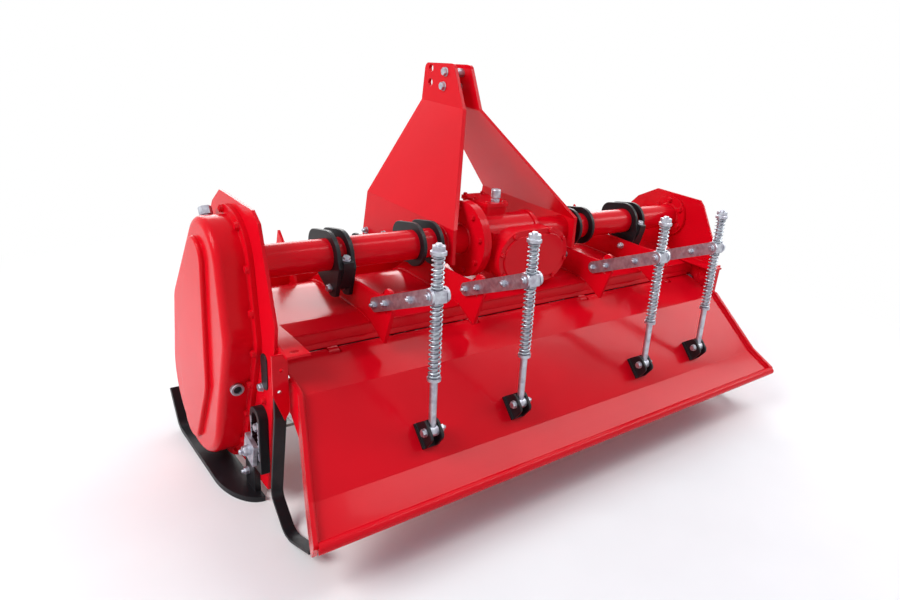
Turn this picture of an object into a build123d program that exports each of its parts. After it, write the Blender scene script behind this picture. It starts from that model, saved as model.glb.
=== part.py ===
"""Tractor-mounted rotary tiller with a side gear drive, built in millimetres.

Design frame: the origin is on the main tube's axis at the middle of the machine, +X points right
seen from behind, +Y towards the tractor and +Z up. Every piece is built there. At the end the whole
machine is moved once, so that the exported origin is on the floor under the middle of its box.
"""
import os
from math import atan2, cos, degrees, hypot, radians, sin

from build123d import *

# Main tube and side plates
TUBE_R = 44.45
TUBE_WALL = 8.0
TUBE_END_R = 80.0
SIDE_IN = 878.0
SIDE_T = 8.0
SIDE_FLOOR_GAP = 50.0
SIDE_SKIRT = ((-245.0, -80.0), (-215.0, -300.0), (-160.0, 250.0), (385.0, -480.0), (400.0, -330.0), (300.0, -90.0))
SIDE_HEAD_LEFT = ((146.0, 131.0), (86.0, 173.0), (-129.0, 173.0), (-165.0, 150.0))
SIDE_HEAD_RIGHT = ((180.0, 40.0), (86.0, 91.0), (-129.0, 91.0), (-150.0, 72.0))
SIDE_STUB_GAP = 8.0
SEAT_GAP = 0.2
RUN_GAP = 0.05

# Rotor: its axis lies in front of and below the tube
ROTOR_Y = 130.0
GROUND_CLEAR = 70.0
ROTOR_TUBE_R = 40.0
ROTOR_STUB_R = 25.0
ROTOR_END_GAP = 12.0
ROTOR_STUB_REACH = 44.0
ROTOR_STUB_END_GAP = 2.0
TINE_R = 200.0
TINE_T = 8.0
TINE_TIP_W = 72.0
TINE_TIP_ANGLES = (2.0, 18.0)
TINE_SHANK = ((-0.13, 0.22), (0.13, 0.22), (0.145, 0.51), (0.28, 0.94), (0.04, 0.98), (-0.094, 0.553))
TINE_FLANGE_SHARE = 0.42
TINE_FLANGE_T = 12.0
TINE_FLANGES = 8
TINES_PER_FLANGE = 6
TINE_END_GAP = 8.5
TINE_TWIST = 22.0
TINE_SINK = 1.0

# Hood over the rotor
HOOD_T = 5.0
HOOD_TOP_DROP = 140.0
HOOD_BACK_Y = -160.0
HOOD_BACK_DROP = 10.0
HOOD_CREST_Y = -99.0
HOOD_FRONT_ANGLE = 15.0
HOOD_CLEAR = 25.0
BEAM_DEPTH = 45.0
BEAM_INSET = 3.0
BEAM_H = 46.0
GUSSET_X = 640.0
GUSSET_T = 8.0
GUSSET_TIP = ((-40.0, 122.0), (-28.0, 80.0), (-14.0, -125.0), (-170.0, -20.0), (-128.0, 44.0))

# Gearbox on the tube
GEARBOX_X = (-152.0, 75.0)
BARREL_R = 72.0
TOWER_X = (-102.0, -14.0)
TOWER_Y = (-16.0, 122.0)
TOWER_TOP_Z = 98.0
TOWER_FILLET = 14.0
FLANGE_R = (120.0, 76.0)
FLANGE_T = 14.0
COVER_MIDDLE = (8.0, -36.0)
COVER_HALF_SPAN = 54.5
COVER_R = 90.0
COVER_RIM = 18.0
COVER_T = (16.0, 5.0)
COVER_FACE_Y = -128.0
COVER_FILLET = 3.0
NECK_DEPTH = 46.0
NECK_RIM = 3.0
THROAT_X = (-120.0, 68.0)
THROAT_Z = (-95.0, 35.0)
LID_RIM = 4.0
LID_T = 12.0
PTO_R = 17.45
PTO_SEAT_R = 20.0
PTO_BOSS_R = 48.0
PTO_FACE_Y = 185.0
PTO_DEPTH = 60.0
PTO_REACH = 120.0

# Mast over the gearbox
MAST_T = 12.0
MAST_FOOT_X = 262.0
MAST_HEAD_X = 40.0
MAST_BEND_Z = (52.0, 365.0)
MAST_TOP_Z = 500.0
MAST_HEAD = ((483.0, 365.0), (470.0, 488.0), (302.0, 500.0), (232.0, 365.0))
MAST_HEAD_R = 22.0
MAST_FOOT = ((-67.0, 52.0), (-72.0, -56.0), (100.0, -56.0), (180.0, -80.0), (300.0, -82.0), (488.0, -113.0), (458.0, 52.0))
TOP_LINK_R = 12.85
TOP_LINK_Y = 434.0
TOP_LINK_Z = (473.0, 427.0)
MAST_SPACER_R = 14.0
MAST_SPACER_YZ = ((344.0, 470.0), (352.0, 423.0))

# Clamps and lower hitch arms on the tube
CLAMP_T = 12.0
CLAMP_R = 64.0
CLAMP_X = 612.0
CLAMP_SPREAD = 40.0
CLAMP_FOOT = ((-62.0, -8.0), (-48.0, -110.0), (-26.0, -114.0), (10.0, -108.0), (150.0, -107.0), (58.0, -24.0))
HITCH_X = 325.0
HITCH_SPREAD = 62.0
HITCH_Y = 470.0
HITCH_BELLY = (170.0, 32.0)
HITCH_HEEL = (70.0, 8.0)
MAST_HEIGHT = 610.0
HITCH_R = 14.4
HITCH_EAR_R = 36.0

# Trailing board
HINGE_Y = -165.0
HINGE_Z = -216.0
HINGE_R = 8.0
KNUCKLE_R = 14.0
LUG_X = (-700.0, -240.0, 240.0, 700.0)
LUG_W = 30.0
LUG_GAP = 2.0
KNUCKLE_GAP = 1.0
KNUCKLE_NOTCH = 8.0
BOARD_T = 5.0
BOARD_TOP = (-302.0, -243.0)
BOARD_LIP = (-479.0, -420.0)
BOARD_END = (-567.0, -476.0)
BOARD_PIPE_R = 14.0
BOARD_SIDE_GAP = 32.0
BOARD_FLARE = 0.325
END_PLATE_T = 12.0
END_PLATE_PROUD = 12.0
END_PLATE_DEPTH = 92.0
END_PLATE_HEAD = 58.0
END_PLATE_TIP_R = (10.0, 34.0)

# Spring rods between the hood's bars and the board
ROD_X = (-568.0, -270.0, 270.0, 568.0)
ROD_R = 10.0
ROD_SLIDE_GAP = 0.3
EYE_Y = -455.0
EYE_Z = -343.0
EYE_R = 16.0
EYE_W = 24.0
SWIVEL_Y = -438.0
SWIVEL_Z = 22.0
SWIVEL_H = 32.0
SWIVEL_D = 34.0
SWIVEL_SIDE_GAP = 0.5
TRUNNION_R = 8.0
UPPER_SPRING_L = 84.0
LOWER_SPRING_L = 198.0
SPRING_IN_R = 10.8
SPRING_OUT_R = 16.5
SPRING_PITCH = 12.0
SPRING_RIDGE = 4.0
COLLAR_T = 8.0
COLLAR_R = 18.0
NUT_T = 18.0
NUT_FLATS = 30.0
WASHER_T = 4.0
WASHER_R = 19.0
CLEVIS_T = 8.0
CLEVIS_SIDE_GAP = 0.5
CLEVIS_BASE_T = 8.0
CLEVIS_BASE = (78.0, 70.0)
CLEVIS_RIM = 2.0
CLEVIS_FLARE = 10.0
CLEVIS_HEAD_R = 11.0
CLEVIS_HEAD_T = 8.0

# Ribs on the hood and the flat bars bolted to them
RIB_T = 10.0
RIB_OFFSET = 18.0
RIB_NOSE = ((228.0, -20.0), (150.0, 35.0), (60.0, 80.0), (-68.0, 78.0), (-160.0, 79.0), (-205.0, 82.0))
RIB_LUG = ((-236.0, 113.0), (-254.0, 111.0), (-264.0, 94.0), (-268.0, 60.0), (-233.0, -46.0))
RIB_LUG_R = 9.0
RIB_HOLES = ((-224.0, 94.0), (-237.0, 48.0))
RIB_HOLE_R = 5.0
BAR_T = 8.0
BAR_H = 40.0
BAR_FRONT = (-189.0, -88.0)
BAR_SPACER_AT = 0.69
BAR_SPACER_R = 9.0

# Side drive, bearing, skids and legs
CASE_ROUNDS = ((0.0, 20.0, 110.0), (-60.0, -150.0, 75.0), (195.0, -190.0, 92.0))
CASE_FOOT = (20.0, -35.0)
CASE_FLOOR_GAP = 45.0
CASE_DEPTH = 82.0
CASE_FLANGE_W = 24.0
CASE_FLANGE_T = 12.0
CASE_PANEL = ((22.0, 25.0, 52.0), (112.0, -300.0, 115.0))
CASE_PANEL_FOOT = (28.0, 142.0, 60.0)
CASE_PANEL_H = 12.0
CASE_FILLET = 18.0
CASE_PANEL_FILLET = 6.0
BEARING_R = 95.0
BEARING_T = 14.0
BEARING_HUB_R = 62.0
BEARING_DEPTH = 60.0
SKID_W = 84.0
SKID_T = 16.0
SKID_PATH = ((414.0, 110.0), (345.0, 0.0), (-140.0, 0.0))
SKID_TAIL = 160.0
SKID_BEND_R = 60.0
SKID_FRONT_LUG = ((345.0, 22.0), (392.0, 90.0), (380.0, 140.0), (345.0, 110.0))
SKID_REAR_LUG = ((-108.0, 6.0), (-44.0, 6.0), (-44.0, 100.0), (-108.0, 100.0))
ADJUSTER_Y = (-182.0, -118.0)
ADJUSTER_Z = (119.0, 306.0)
ADJUSTER_T = 8.0
ADJUSTER_DEPTH = 24.0
ADJUSTER_ROUND = 31.0
ADJUSTER_SLOT = (38.0, 140.0, 292.0)
NOTCH_PITCH = 13.5
NOTCH_SIDE = 8.0
SQUARE_YZ = (-131.0, 173.0)
SQUARE_SIZE = (12.0, 62.0, 70.0)
SQUARE_TILT = 15.0
SQUARE_BOLT = (14.0, 10.0)
BRACKET_T = 6.0
BRACKET_WEB = ((-200.0, -120.0), (-262.0, -138.0), (-262.0, -245.0), (-200.0, -230.0))
BRACKET_TONGUE = ((-12.0, -138.0), (27.0, -138.0), (27.0, -246.0), (-1.0, -320.0), (-12.0, -300.0))
BRACKET_HOLES = ((5.0, -180.0), (11.0, -237.0))
BRACKET_HOLE_R = 5.0
BRACKET_SHELF_IN = 60.0
BRACKET_SHELF_Y = (-291.0, -240.0)
BRACKET_SLOT = (24.0, 12.0)
LEG_T = 8.0
LEG_W = 30.0
LEG_IN = 8.0
LEG_TOP = (-250.0, -310.0)
LEG_KNEE = (-222.0, 75.0)
LEG_FOOT_Y = (-296.0, -330.0)
LEG_TOE = (-442.0, 50.0)
LEG_BEND_R = 40.0

# Values that follow from the sizes above
SIDE_OUT = SIDE_IN + SIDE_T
HITCH_Z = TOP_LINK_Z[0] - MAST_HEIGHT
HOOD_R = TINE_R + HOOD_CLEAR + HOOD_T
HOOD_TOP_Z = -HOOD_TOP_DROP
HOOD_FRONT_Y = ROTOR_Y + HOOD_R
ROTOR_Z = HOOD_TOP_Z - HOOD_R
FLOOR_Z = ROTOR_Z - TINE_R - GROUND_CLEAR
HOOD_BACK_Z = HOOD_TOP_Z - HOOD_BACK_DROP
BEAM_BOTTOM_Z = HOOD_BACK_Z - BEAM_H
BOARD_HALF = SIDE_IN - BOARD_SIDE_GAP
TINE_FLANGE_R = TINE_FLANGE_SHARE * TINE_R
TINE_FIRST_X = SIDE_IN - ROTOR_END_GAP - TINE_END_GAP - TINE_TIP_W
ROD_DIR = (Vector(0, SWIVEL_Y, SWIVEL_Z) - Vector(0, EYE_Y, EYE_Z)).normalized()
ROD_SPAN = hypot(SWIVEL_Y - EYE_Y, SWIVEL_Z - EYE_Z)


def plate_x(outline, x_low, thickness):
    """A flat plate whose outline is drawn in Y and Z, from x_low along +X."""
    return Pos(x_low, 0, 0) * extrude(Plane.YZ * outline, amount=thickness)


def polygon(points):
    """A flat outline through the given points."""
    return make_face(Polyline(*points, close=True))


def rod_x(radius, x_low, x_high, y=0.0, z=0.0):
    """A round bar along X."""
    return Pos((x_low + x_high) / 2, y, z) * Rot(0, 90, 0) * Cylinder(radius, x_high - x_low)


def rod_y(radius, y_low, y_high, x=0.0, z=0.0):
    """A round bar along Y."""
    return Pos(x, (y_low + y_high) / 2, z) * Rot(90, 0, 0) * Cylinder(radius, y_high - y_low)


def block(x_range, y_range, z_range):
    """A box between two limits on each axis."""
    size = [high - low for low, high in (x_range, y_range, z_range)]
    middle = [(high + low) / 2 for low, high in (x_range, y_range, z_range)]
    return Pos(*middle) * Box(*size)


def round_outline(y, z, radius):
    """A disc in the Y and Z outline plane."""
    return Pos(y, z) * Circle(radius)


def hood_back_z(y):
    """Height of the hood's top surface on its rear slope."""
    share = (y - HOOD_BACK_Y) / (HOOD_CREST_Y - HOOD_BACK_Y)
    return HOOD_BACK_Z + share * (HOOD_TOP_Z - HOOD_BACK_Z)


def above(points, level):
    """Outline points whose second value is a height above the given level."""
    return [(y, level + height) for y, height in points]


def under_hood():
    """The outline of all that lies under the hood's top surface, for pieces that stand on it."""
    room = polygon(
        [
            (HOOD_BACK_Y, HOOD_BACK_Z),
            (HOOD_CREST_Y, HOOD_TOP_Z),
            (ROTOR_Y, HOOD_TOP_Z),
            (ROTOR_Y, ROTOR_Z),
            (HOOD_BACK_Y, ROTOR_Z),
        ]
    )
    return room + round_outline(ROTOR_Y, ROTOR_Z, HOOD_R)


def board_half(y):
    """Half-width of the trailing board, which flares below its top bend."""
    return BOARD_HALF + BOARD_FLARE * max(0.0, BOARD_TOP[0] - y)


def tube(side):
    """One half of the main tube, with its bolting flange at the gearbox."""
    inner_x = GEARBOX_X[1] if side > 0 else FLANGE_T - GEARBOX_X[0]
    flange_r = FLANGE_R[1] if side > 0 else FLANGE_R[0]
    bar = rod_x(TUBE_R, inner_x, SIDE_IN) + rod_x(flange_r, inner_x, inner_x + FLANGE_T)
    if side > 0:
        bar += rod_x(TUBE_END_R, SIDE_IN - FLANGE_T, SIDE_IN)
    bar -= rod_x(TUBE_R - TUBE_WALL, inner_x, SIDE_IN)
    return bar if side > 0 else mirror(bar, about=Plane.YZ)


def slot_outline(radius):
    """The gearbox's rear cover outline: a wide slot."""
    ends = [Pos(side * COVER_HALF_SPAN, 0) * Circle(radius) for side in (-1, 1)]
    return make_hull(ends[0].edges() + ends[1].edges())


def gearbox_housing():
    """Casting that joins the two tubes and carries the drive shaft from the tractor."""
    casting = rod_x(BARREL_R, *GEARBOX_X) + rod_x(FLANGE_R[0], GEARBOX_X[0] - FLANGE_T, GEARBOX_X[0])
    tower = block(TOWER_X, TOWER_Y, (0, TOWER_TOP_Z))
    casting += fillet(tower.edges().filter_by(Axis.Z), TOWER_FILLET)
    rear = Plane(origin=(COVER_MIDDLE[0], COVER_FACE_Y, COVER_MIDDLE[1]), x_dir=(1, 0, 0), z_dir=(0, 1, 0))
    casting += extrude(rear * slot_outline(COVER_R - NECK_RIM), amount=NECK_DEPTH)
    casting += block(THROAT_X, (COVER_FACE_Y + NECK_DEPTH - 1, 0), THROAT_Z)
    casting += rod_y(PTO_BOSS_R, 0, PTO_FACE_Y)
    return casting - rod_y(PTO_SEAT_R + RUN_GAP, PTO_FACE_Y - PTO_DEPTH, PTO_FACE_Y)


def gearbox_cover():
    """Stepped oval cover on the back of the gearbox."""
    at = Pos(COVER_MIDDLE[0], COVER_FACE_Y, COVER_MIDDLE[1])
    flange = at * extrude(Plane.XZ * slot_outline(COVER_R), amount=COVER_T[0])
    dome = at * Pos(0, -COVER_T[0], 0) * extrude(Plane.XZ * slot_outline(COVER_R - COVER_RIM), amount=COVER_T[1])
    dome = fillet(dome.faces().sort_by(Axis.Y)[0].edges(), COVER_FILLET)
    return flange + dome


def gearbox_lid():
    """Bolted lid on the gearbox's tower."""
    spans = [(low - LID_RIM, high + LID_RIM) for low, high in (TOWER_X, TOWER_Y)]
    lid = block(*spans, (TOWER_TOP_Z, TOWER_TOP_Z + LID_T))
    return fillet(lid.edges().filter_by(Axis.Z), TOWER_FILLET)


def pto_shaft():
    """Input shaft that takes the tractor's drive, thicker where it runs in the gearbox."""
    journal = rod_y(PTO_SEAT_R, PTO_FACE_Y - PTO_DEPTH, PTO_FACE_Y)
    return journal + rod_y(PTO_R, PTO_FACE_Y, PTO_FACE_Y + PTO_REACH)


def mast(side):
    """One bent plate of the mast, cut to its side outline."""
    low_z = min(z for y, z in MAST_FOOT)
    path = Polyline(
        (MAST_FOOT_X, low_z),
        (MAST_FOOT_X, MAST_BEND_Z[0]),
        (MAST_HEAD_X, MAST_BEND_Z[1]),
        (MAST_HEAD_X, MAST_TOP_Z),
    )
    section = make_face(offset(path, amount=MAST_T, side=Side.LEFT))
    outline = polygon(MAST_HEAD + MAST_FOOT)
    outline = fillet(outline.vertices().sort_by(Axis.Y)[-2:], MAST_HEAD_R)
    span = outline.bounding_box()
    bent = Pos(0, span.max.X, 0) * extrude(Plane.XZ * section, amount=span.size.X)
    plate = bent & plate_x(outline, 0, MAST_FOOT_X + MAST_T)
    plate -= rod_x(TUBE_R + SEAT_GAP, 0, SIDE_IN)
    for z in TOP_LINK_Z:
        plate -= rod_x(TOP_LINK_R, 0, MAST_HEAD_X + MAST_T, TOP_LINK_Y, z)
    return plate if side > 0 else mirror(plate, about=Plane.YZ)


def mast_spacers():
    """Two distance tubes that hold the mast plates apart behind the top link."""
    inner = MAST_HEAD_X - MAST_T
    return [rod_x(MAST_SPACER_R, -inner, inner, y, z) for y, z in MAST_SPACER_YZ]


def tube_plates(outline, middle_x, spread):
    """A pair of equal plates on the main tube, either side of a middle plane."""
    outline -= round_outline(0, 0, TUBE_R + SEAT_GAP)
    lows = [middle_x + step * spread / 2 - CLAMP_T / 2 for step in (-1, 1)]
    return [plate_x(outline, low, CLAMP_T) for low in lows]


def clamp(side):
    """A pair of ring plates on the tube with a foot over the hood."""
    outline = round_outline(0, 0, CLAMP_R) + polygon(CLAMP_FOOT)
    return tube_plates(outline, side * CLAMP_X, CLAMP_SPREAD)


def hitch(side):
    """A pair of plates on the tube that reach forward to the lower link's pin."""
    arm = polygon(
        [
            (0, CLAMP_R),
            (HITCH_Y, HITCH_Z + HITCH_EAR_R),
            (HITCH_Y, HITCH_Z - HITCH_EAR_R),
            (HITCH_Y - HITCH_HEEL[0], HITCH_Z - HITCH_EAR_R + HITCH_HEEL[1]),
            (HITCH_Y - HITCH_BELLY[0], HITCH_Z + HITCH_BELLY[1]),
            (0, -CLAMP_R),
        ]
    )
    outline = round_outline(0, 0, CLAMP_R) + arm + round_outline(HITCH_Y, HITCH_Z, HITCH_EAR_R)
    outline -= round_outline(HITCH_Y, HITCH_Z, HITCH_R)
    return tube_plates(outline, side * HITCH_X, HITCH_SPREAD)


def hood():
    """Folded sheet over the rotor: rear slope, flat crest and a round front."""
    front = radians(HOOD_FRONT_ANGLE)
    middle = radians((90 + HOOD_FRONT_ANGLE) / 2)
    flat = Polyline(
        (HOOD_BACK_Y, HOOD_BACK_Z),
        (HOOD_CREST_Y, HOOD_TOP_Z),
        (ROTOR_Y, HOOD_TOP_Z),
    )
    nose = ThreePointArc(
        (ROTOR_Y, HOOD_TOP_Z),
        (ROTOR_Y + HOOD_R * cos(middle), ROTOR_Z + HOOD_R * sin(middle)),
        (ROTOR_Y + HOOD_R * cos(front), ROTOR_Z + HOOD_R * sin(front)),
    )
    section = make_face(offset(Wire(flat.edges() + nose.edges()), amount=HOOD_T, side=Side.RIGHT))
    return plate_x(section, -SIDE_IN, 2 * SIDE_IN)


def front_gussets():
    """Upright stiffening plates on the round front of the hood."""
    tip = [(HOOD_FRONT_Y + y, height) for y, height in GUSSET_TIP]
    outline = polygon(above(tip, HOOD_TOP_Z)) - under_hood()
    return [plate_x(outline, side * GUSSET_X - GUSSET_T / 2, GUSSET_T) for side in (-1, 1)]


def rear_beam():
    """Box beam under the hood's rear edge, with the lugs that hold the board's hinge rod."""
    slope = atan2(HOOD_TOP_Z - HOOD_BACK_Z, HOOD_CREST_Y - HOOD_BACK_Y)
    drop = HOOD_T / cos(slope)
    back_y = HOOD_BACK_Y + BEAM_INSET
    front_y = HOOD_BACK_Y + BEAM_DEPTH
    outline = polygon(
        [
            (back_y, BEAM_BOTTOM_Z),
            (back_y, hood_back_z(back_y) - drop),
            (front_y, hood_back_z(front_y) - drop),
            (front_y, BEAM_BOTTOM_Z),
        ]
    )
    beam = plate_x(outline, -SIDE_IN, 2 * SIDE_IN)
    ear = round_outline(HINGE_Y, HINGE_Z, KNUCKLE_R)
    ear += polygon(
        [
            (HINGE_Y - KNUCKLE_R, HINGE_Z),
            (back_y, BEAM_BOTTOM_Z),
            (front_y, BEAM_BOTTOM_Z),
            (HINGE_Y + KNUCKLE_R, HINGE_Z),
        ]
    )
    for x in LUG_X:
        beam += plate_x(ear, x - LUG_W / 2, LUG_W)
    return beam - rod_x(HINGE_R, -SIDE_IN, SIDE_IN, HINGE_Y, HINGE_Z)


def hinge_rod():
    """Round rod that the trailing board swings on."""
    reach = BOARD_HALF + END_PLATE_T
    return rod_x(HINGE_R, -reach, reach, HINGE_Y, HINGE_Z)


def hood_ribs():
    """Fore-and-aft plates on the hood that carry the spring bars."""
    corners = above(RIB_NOSE + RIB_LUG, HOOD_TOP_Z)
    outline = polygon(corners + [(HOOD_BACK_Y, HOOD_BACK_Z), (ROTOR_Y, ROTOR_Z)])
    lug = sorted(outline.vertices(), key=lambda corner: hypot(corner.X - corners[-4][0], corner.Y - corners[-4][1]))
    outline = fillet(lug[:2], RIB_LUG_R) - under_hood()
    for y, z in above(RIB_HOLES, HOOD_TOP_Z):
        outline -= round_outline(y, z, RIB_HOLE_R)
    return [plate_x(outline, x - RIB_OFFSET, RIB_T) for x in ROD_X]


def bar_outline(start, end):
    """A flat bar with round ends between two points of the Y and Z plane."""
    along = Vector(end[0] - start[0], end[1] - start[1], 0)
    middle = Location(((start[0] + end[0]) / 2, (start[1] + end[1]) / 2, 0))
    turn = degrees(atan2(along.Y, along.X))
    return middle * Rot(0, 0, turn) * SlotCenterToCenter(along.length, BAR_H)


def spring_bars():
    """Flat bars bolted to the ribs, each with a short second bar beyond the swivel block."""
    swivel = (SWIVEL_Y, SWIVEL_Z)
    share = BAR_SPACER_AT
    spacer = tuple(a + share * (b - a) for a, b in zip(BAR_FRONT, swivel))
    hole = round_outline(*swivel, TRUNNION_R + RUN_GAP)
    pieces = []
    for x in ROD_X:
        near = x - RIB_OFFSET
        far = x + RIB_OFFSET
        bar = plate_x(bar_outline(BAR_FRONT, swivel) - hole, near - BAR_T, BAR_T)
        short = plate_x(bar_outline(spacer, swivel) - hole, far, BAR_T)
        pieces.append(bar + short + rod_x(BAR_SPACER_R, near, far, *spacer))
    return pieces


def on_rod(x):
    """Frame at a rod's eye with +Z along the rod."""
    return Plane(origin=(x, EYE_Y, EYE_Z), x_dir=(1, 0, 0), z_dir=ROD_DIR)


def ridged_sleeve(low, length):
    """A coil spring as a closed ridged sleeve, one ridge for each turn."""
    turns = round(length / SPRING_PITCH)
    pitch = length / turns
    valley = SPRING_OUT_R - SPRING_RIDGE
    profile = [(SPRING_IN_R, low), (valley, low)]
    for turn in range(turns):
        profile.append((SPRING_OUT_R, low + (turn + 0.5) * pitch))
        profile.append((valley, low + (turn + 1) * pitch))
    profile.append((SPRING_IN_R, low + length))
    return revolve(Plane.XZ * polygon(profile), Axis.Z)


def spring_rod(x):
    """Rod with its eye, spring collar, washer and nut."""
    collar_top = ROD_SPAN - SWIVEL_H / 2 - LOWER_SPRING_L
    washer_low = ROD_SPAN + SWIVEL_H / 2 + UPPER_SPRING_L
    nut_low = washer_low + WASHER_T
    rod = Pos(0, 0, nut_low / 2) * Cylinder(ROD_R, nut_low)
    rod += Pos(0, 0, collar_top - COLLAR_T / 2) * Cylinder(COLLAR_R, COLLAR_T)
    rod += Pos(0, 0, washer_low + WASHER_T / 2) * Cylinder(WASHER_R, WASHER_T)
    nut = extrude(RegularPolygon(NUT_FLATS / 2, 6, major_radius=False), amount=NUT_T)
    rod += Pos(0, 0, nut_low) * nut
    rod += Rot(0, 90, 0) * Cylinder(EYE_R, EYE_W)
    return on_rod(x).location * rod


def lower_spring(x):
    """Long spring between the rod's collar and the swivel block."""
    low = ROD_SPAN - SWIVEL_H / 2 - LOWER_SPRING_L
    return on_rod(x).location * ridged_sleeve(low, LOWER_SPRING_L)


def upper_spring(x):
    """Short spring between the swivel block and the rod's washer."""
    return on_rod(x).location * ridged_sleeve(ROD_SPAN + SWIVEL_H / 2, UPPER_SPRING_L)


def swivel(x):
    """Block that the rod slides through, turning on two trunnions in the flat bars."""
    width = 2 * (RIB_OFFSET - SWIVEL_SIDE_GAP)
    body = Pos(0, 0, ROD_SPAN) * Box(width, SWIVEL_D, SWIVEL_H)
    reach = RIB_OFFSET + BAR_T
    body += Pos(0, 0, ROD_SPAN) * Rot(0, 90, 0) * Cylinder(TRUNNION_R, 2 * reach)
    body -= Pos(0, 0, ROD_SPAN) * Cylinder(ROD_R + ROD_SLIDE_GAP, 2 * SWIVEL_H)
    return on_rod(x).location * body


def trailing_board():
    """Bent sheet that hangs behind the rotor, with hinge knuckles and a pipe along its edge."""
    root = (HINGE_Y - KNUCKLE_R / 2, HINGE_Z + KNUCKLE_R - KNUCKLE_GAP)
    path = Polyline(root, BOARD_TOP, BOARD_LIP, BOARD_END)
    section = make_face(offset(path, amount=BOARD_T, side=Side.LEFT))
    section += round_outline(*BOARD_END, BOARD_PIPE_R)
    section += round_outline(HINGE_Y, HINGE_Z, KNUCKLE_R)
    widest = board_half(BOARD_END[0] - BOARD_PIPE_R)
    board = plate_x(section, -widest, 2 * widest)
    plan = polygon(
        [
            (BOARD_HALF, 0),
            (BOARD_HALF, BOARD_TOP[0]),
            (widest, BOARD_END[0] - BOARD_PIPE_R),
            (-widest, BOARD_END[0] - BOARD_PIPE_R),
            (-BOARD_HALF, BOARD_TOP[0]),
            (-BOARD_HALF, 0),
        ]
    )
    board &= Pos(0, 0, FLOOR_Z) * extrude(plan, amount=-FLOOR_Z)
    board -= rod_x(HINGE_R + RUN_GAP, -BOARD_HALF, BOARD_HALF, HINGE_Y, HINGE_Z)
    notch = LUG_W / 2 + LUG_GAP
    notch_y = (HINGE_Y - KNUCKLE_R - KNUCKLE_NOTCH, HINGE_Y + KNUCKLE_R + KNUCKLE_GAP)
    notch_z = (HINGE_Z - KNUCKLE_R - KNUCKLE_GAP, HINGE_Z + KNUCKLE_R + LUG_GAP)
    for x in LUG_X:
        board -= block((x - notch, x + notch), notch_y, notch_z)
    return board


def board_end(side):
    """Stiffening plate along one end of the board, upright at its head and then flared with the board."""
    root = (HINGE_Y - KNUCKLE_R / 2, HINGE_Z + KNUCKLE_R)
    share = END_PLATE_HEAD / hypot(root[0] - BOARD_TOP[0], root[1] - BOARD_TOP[1])
    head = tuple(a + share * (b - a) for a, b in zip(BOARD_TOP, root))
    path = Polyline(head, BOARD_TOP, BOARD_LIP, BOARD_END)
    outline = make_face(offset(path, amount=END_PLATE_PROUD, side=Side.RIGHT))
    outline += make_face(offset(path, amount=END_PLATE_DEPTH - END_PLATE_PROUD, side=Side.LEFT))
    outline = fillet(outline.vertices().sort_by(Axis.X)[1], END_PLATE_TIP_R[1])
    outline = fillet(outline.vertices().sort_by(Axis.X)[0], END_PLATE_TIP_R[0])
    far_y = outline.bounding_box().min.X
    flare = [(BOARD_HALF, 0), (BOARD_HALF, BOARD_TOP[0]), (board_half(far_y), far_y)]
    strip = polygon(flare + [(x + END_PLATE_T, y) for x, y in reversed(flare)])
    plate = plate_x(outline, 0, board_half(far_y) + END_PLATE_T)
    plate &= Pos(0, 0, FLOOR_Z) * extrude(strip, amount=-FLOOR_Z)
    return plate if side > 0 else mirror(plate, about=Plane.YZ)


def clevis(x):
    """Forked foot on the board that takes a rod's eye."""
    run = Vector(0, BOARD_LIP[0] - BOARD_TOP[0], BOARD_LIP[1] - BOARD_TOP[1]).normalized()
    out = Vector(0, run.Z, -run.Y)
    arm = Vector(0, EYE_Y - BOARD_TOP[0], EYE_Z - BOARD_TOP[1])
    height = arm.dot(out)
    foot = Vector(x, EYE_Y, EYE_Z) - out * height
    frame = Plane(origin=foot, x_dir=(1, 0, 0), z_dir=out)
    base = Pos(0, 0, CLEVIS_BASE_T / 2) * Box(*CLEVIS_BASE, CLEVIS_BASE_T)
    ear_in = EYE_W / 2 + CLEVIS_SIDE_GAP
    rim = EYE_R + CLEVIS_RIM
    root = rim + CLEVIS_FLARE
    low = CLEVIS_BASE_T / 2
    ear = Pos(height, 0) * Circle(rim)
    ear += polygon([(height, -rim), (height, rim), (low, root), (low, -root)])
    ear_plate = extrude(Plane(origin=(0, 0, 0), x_dir=(0, 0, 1), z_dir=(1, 0, 0)) * ear, amount=CLEVIS_T)
    fork = base + Pos(ear_in, 0, 0) * ear_plate + Pos(-ear_in - CLEVIS_T, 0, 0) * ear_plate
    head = Rot(0, 90, 0) * Cylinder(CLEVIS_HEAD_R, CLEVIS_HEAD_T)
    for side in (-1, 1):
        fork += Pos(side * (ear_in + CLEVIS_T + CLEVIS_HEAD_T / 2), 0, height) * head
    return frame.location * fork


def side_plate(side):
    """End plate of the machine; the left one is taller, for the gear case."""
    head = SIDE_HEAD_LEFT if side < 0 else SIDE_HEAD_RIGHT
    rear, waist, sole, front_low, front_high, shoulder = SIDE_SKIRT
    sole_z = FLOOR_Z + SIDE_FLOOR_GAP
    skirt = [rear, waist, (sole[0], sole_z), (sole[1], sole_z), front_low, front_high, shoulder]
    outline = polygon(list(head) + skirt)
    outline -= round_outline(ROTOR_Y, ROTOR_Z, ROTOR_STUB_R + SIDE_STUB_GAP)
    low = SIDE_IN if side > 0 else -SIDE_OUT
    return plate_x(outline, low, SIDE_T)


def hull_outline(rounds, grow=0.0):
    """Outline stretched round several discs."""
    edges = [edge for y, z, radius in rounds for edge in round_outline(y, z, radius + grow).edges()]
    return make_hull(edges)


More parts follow.
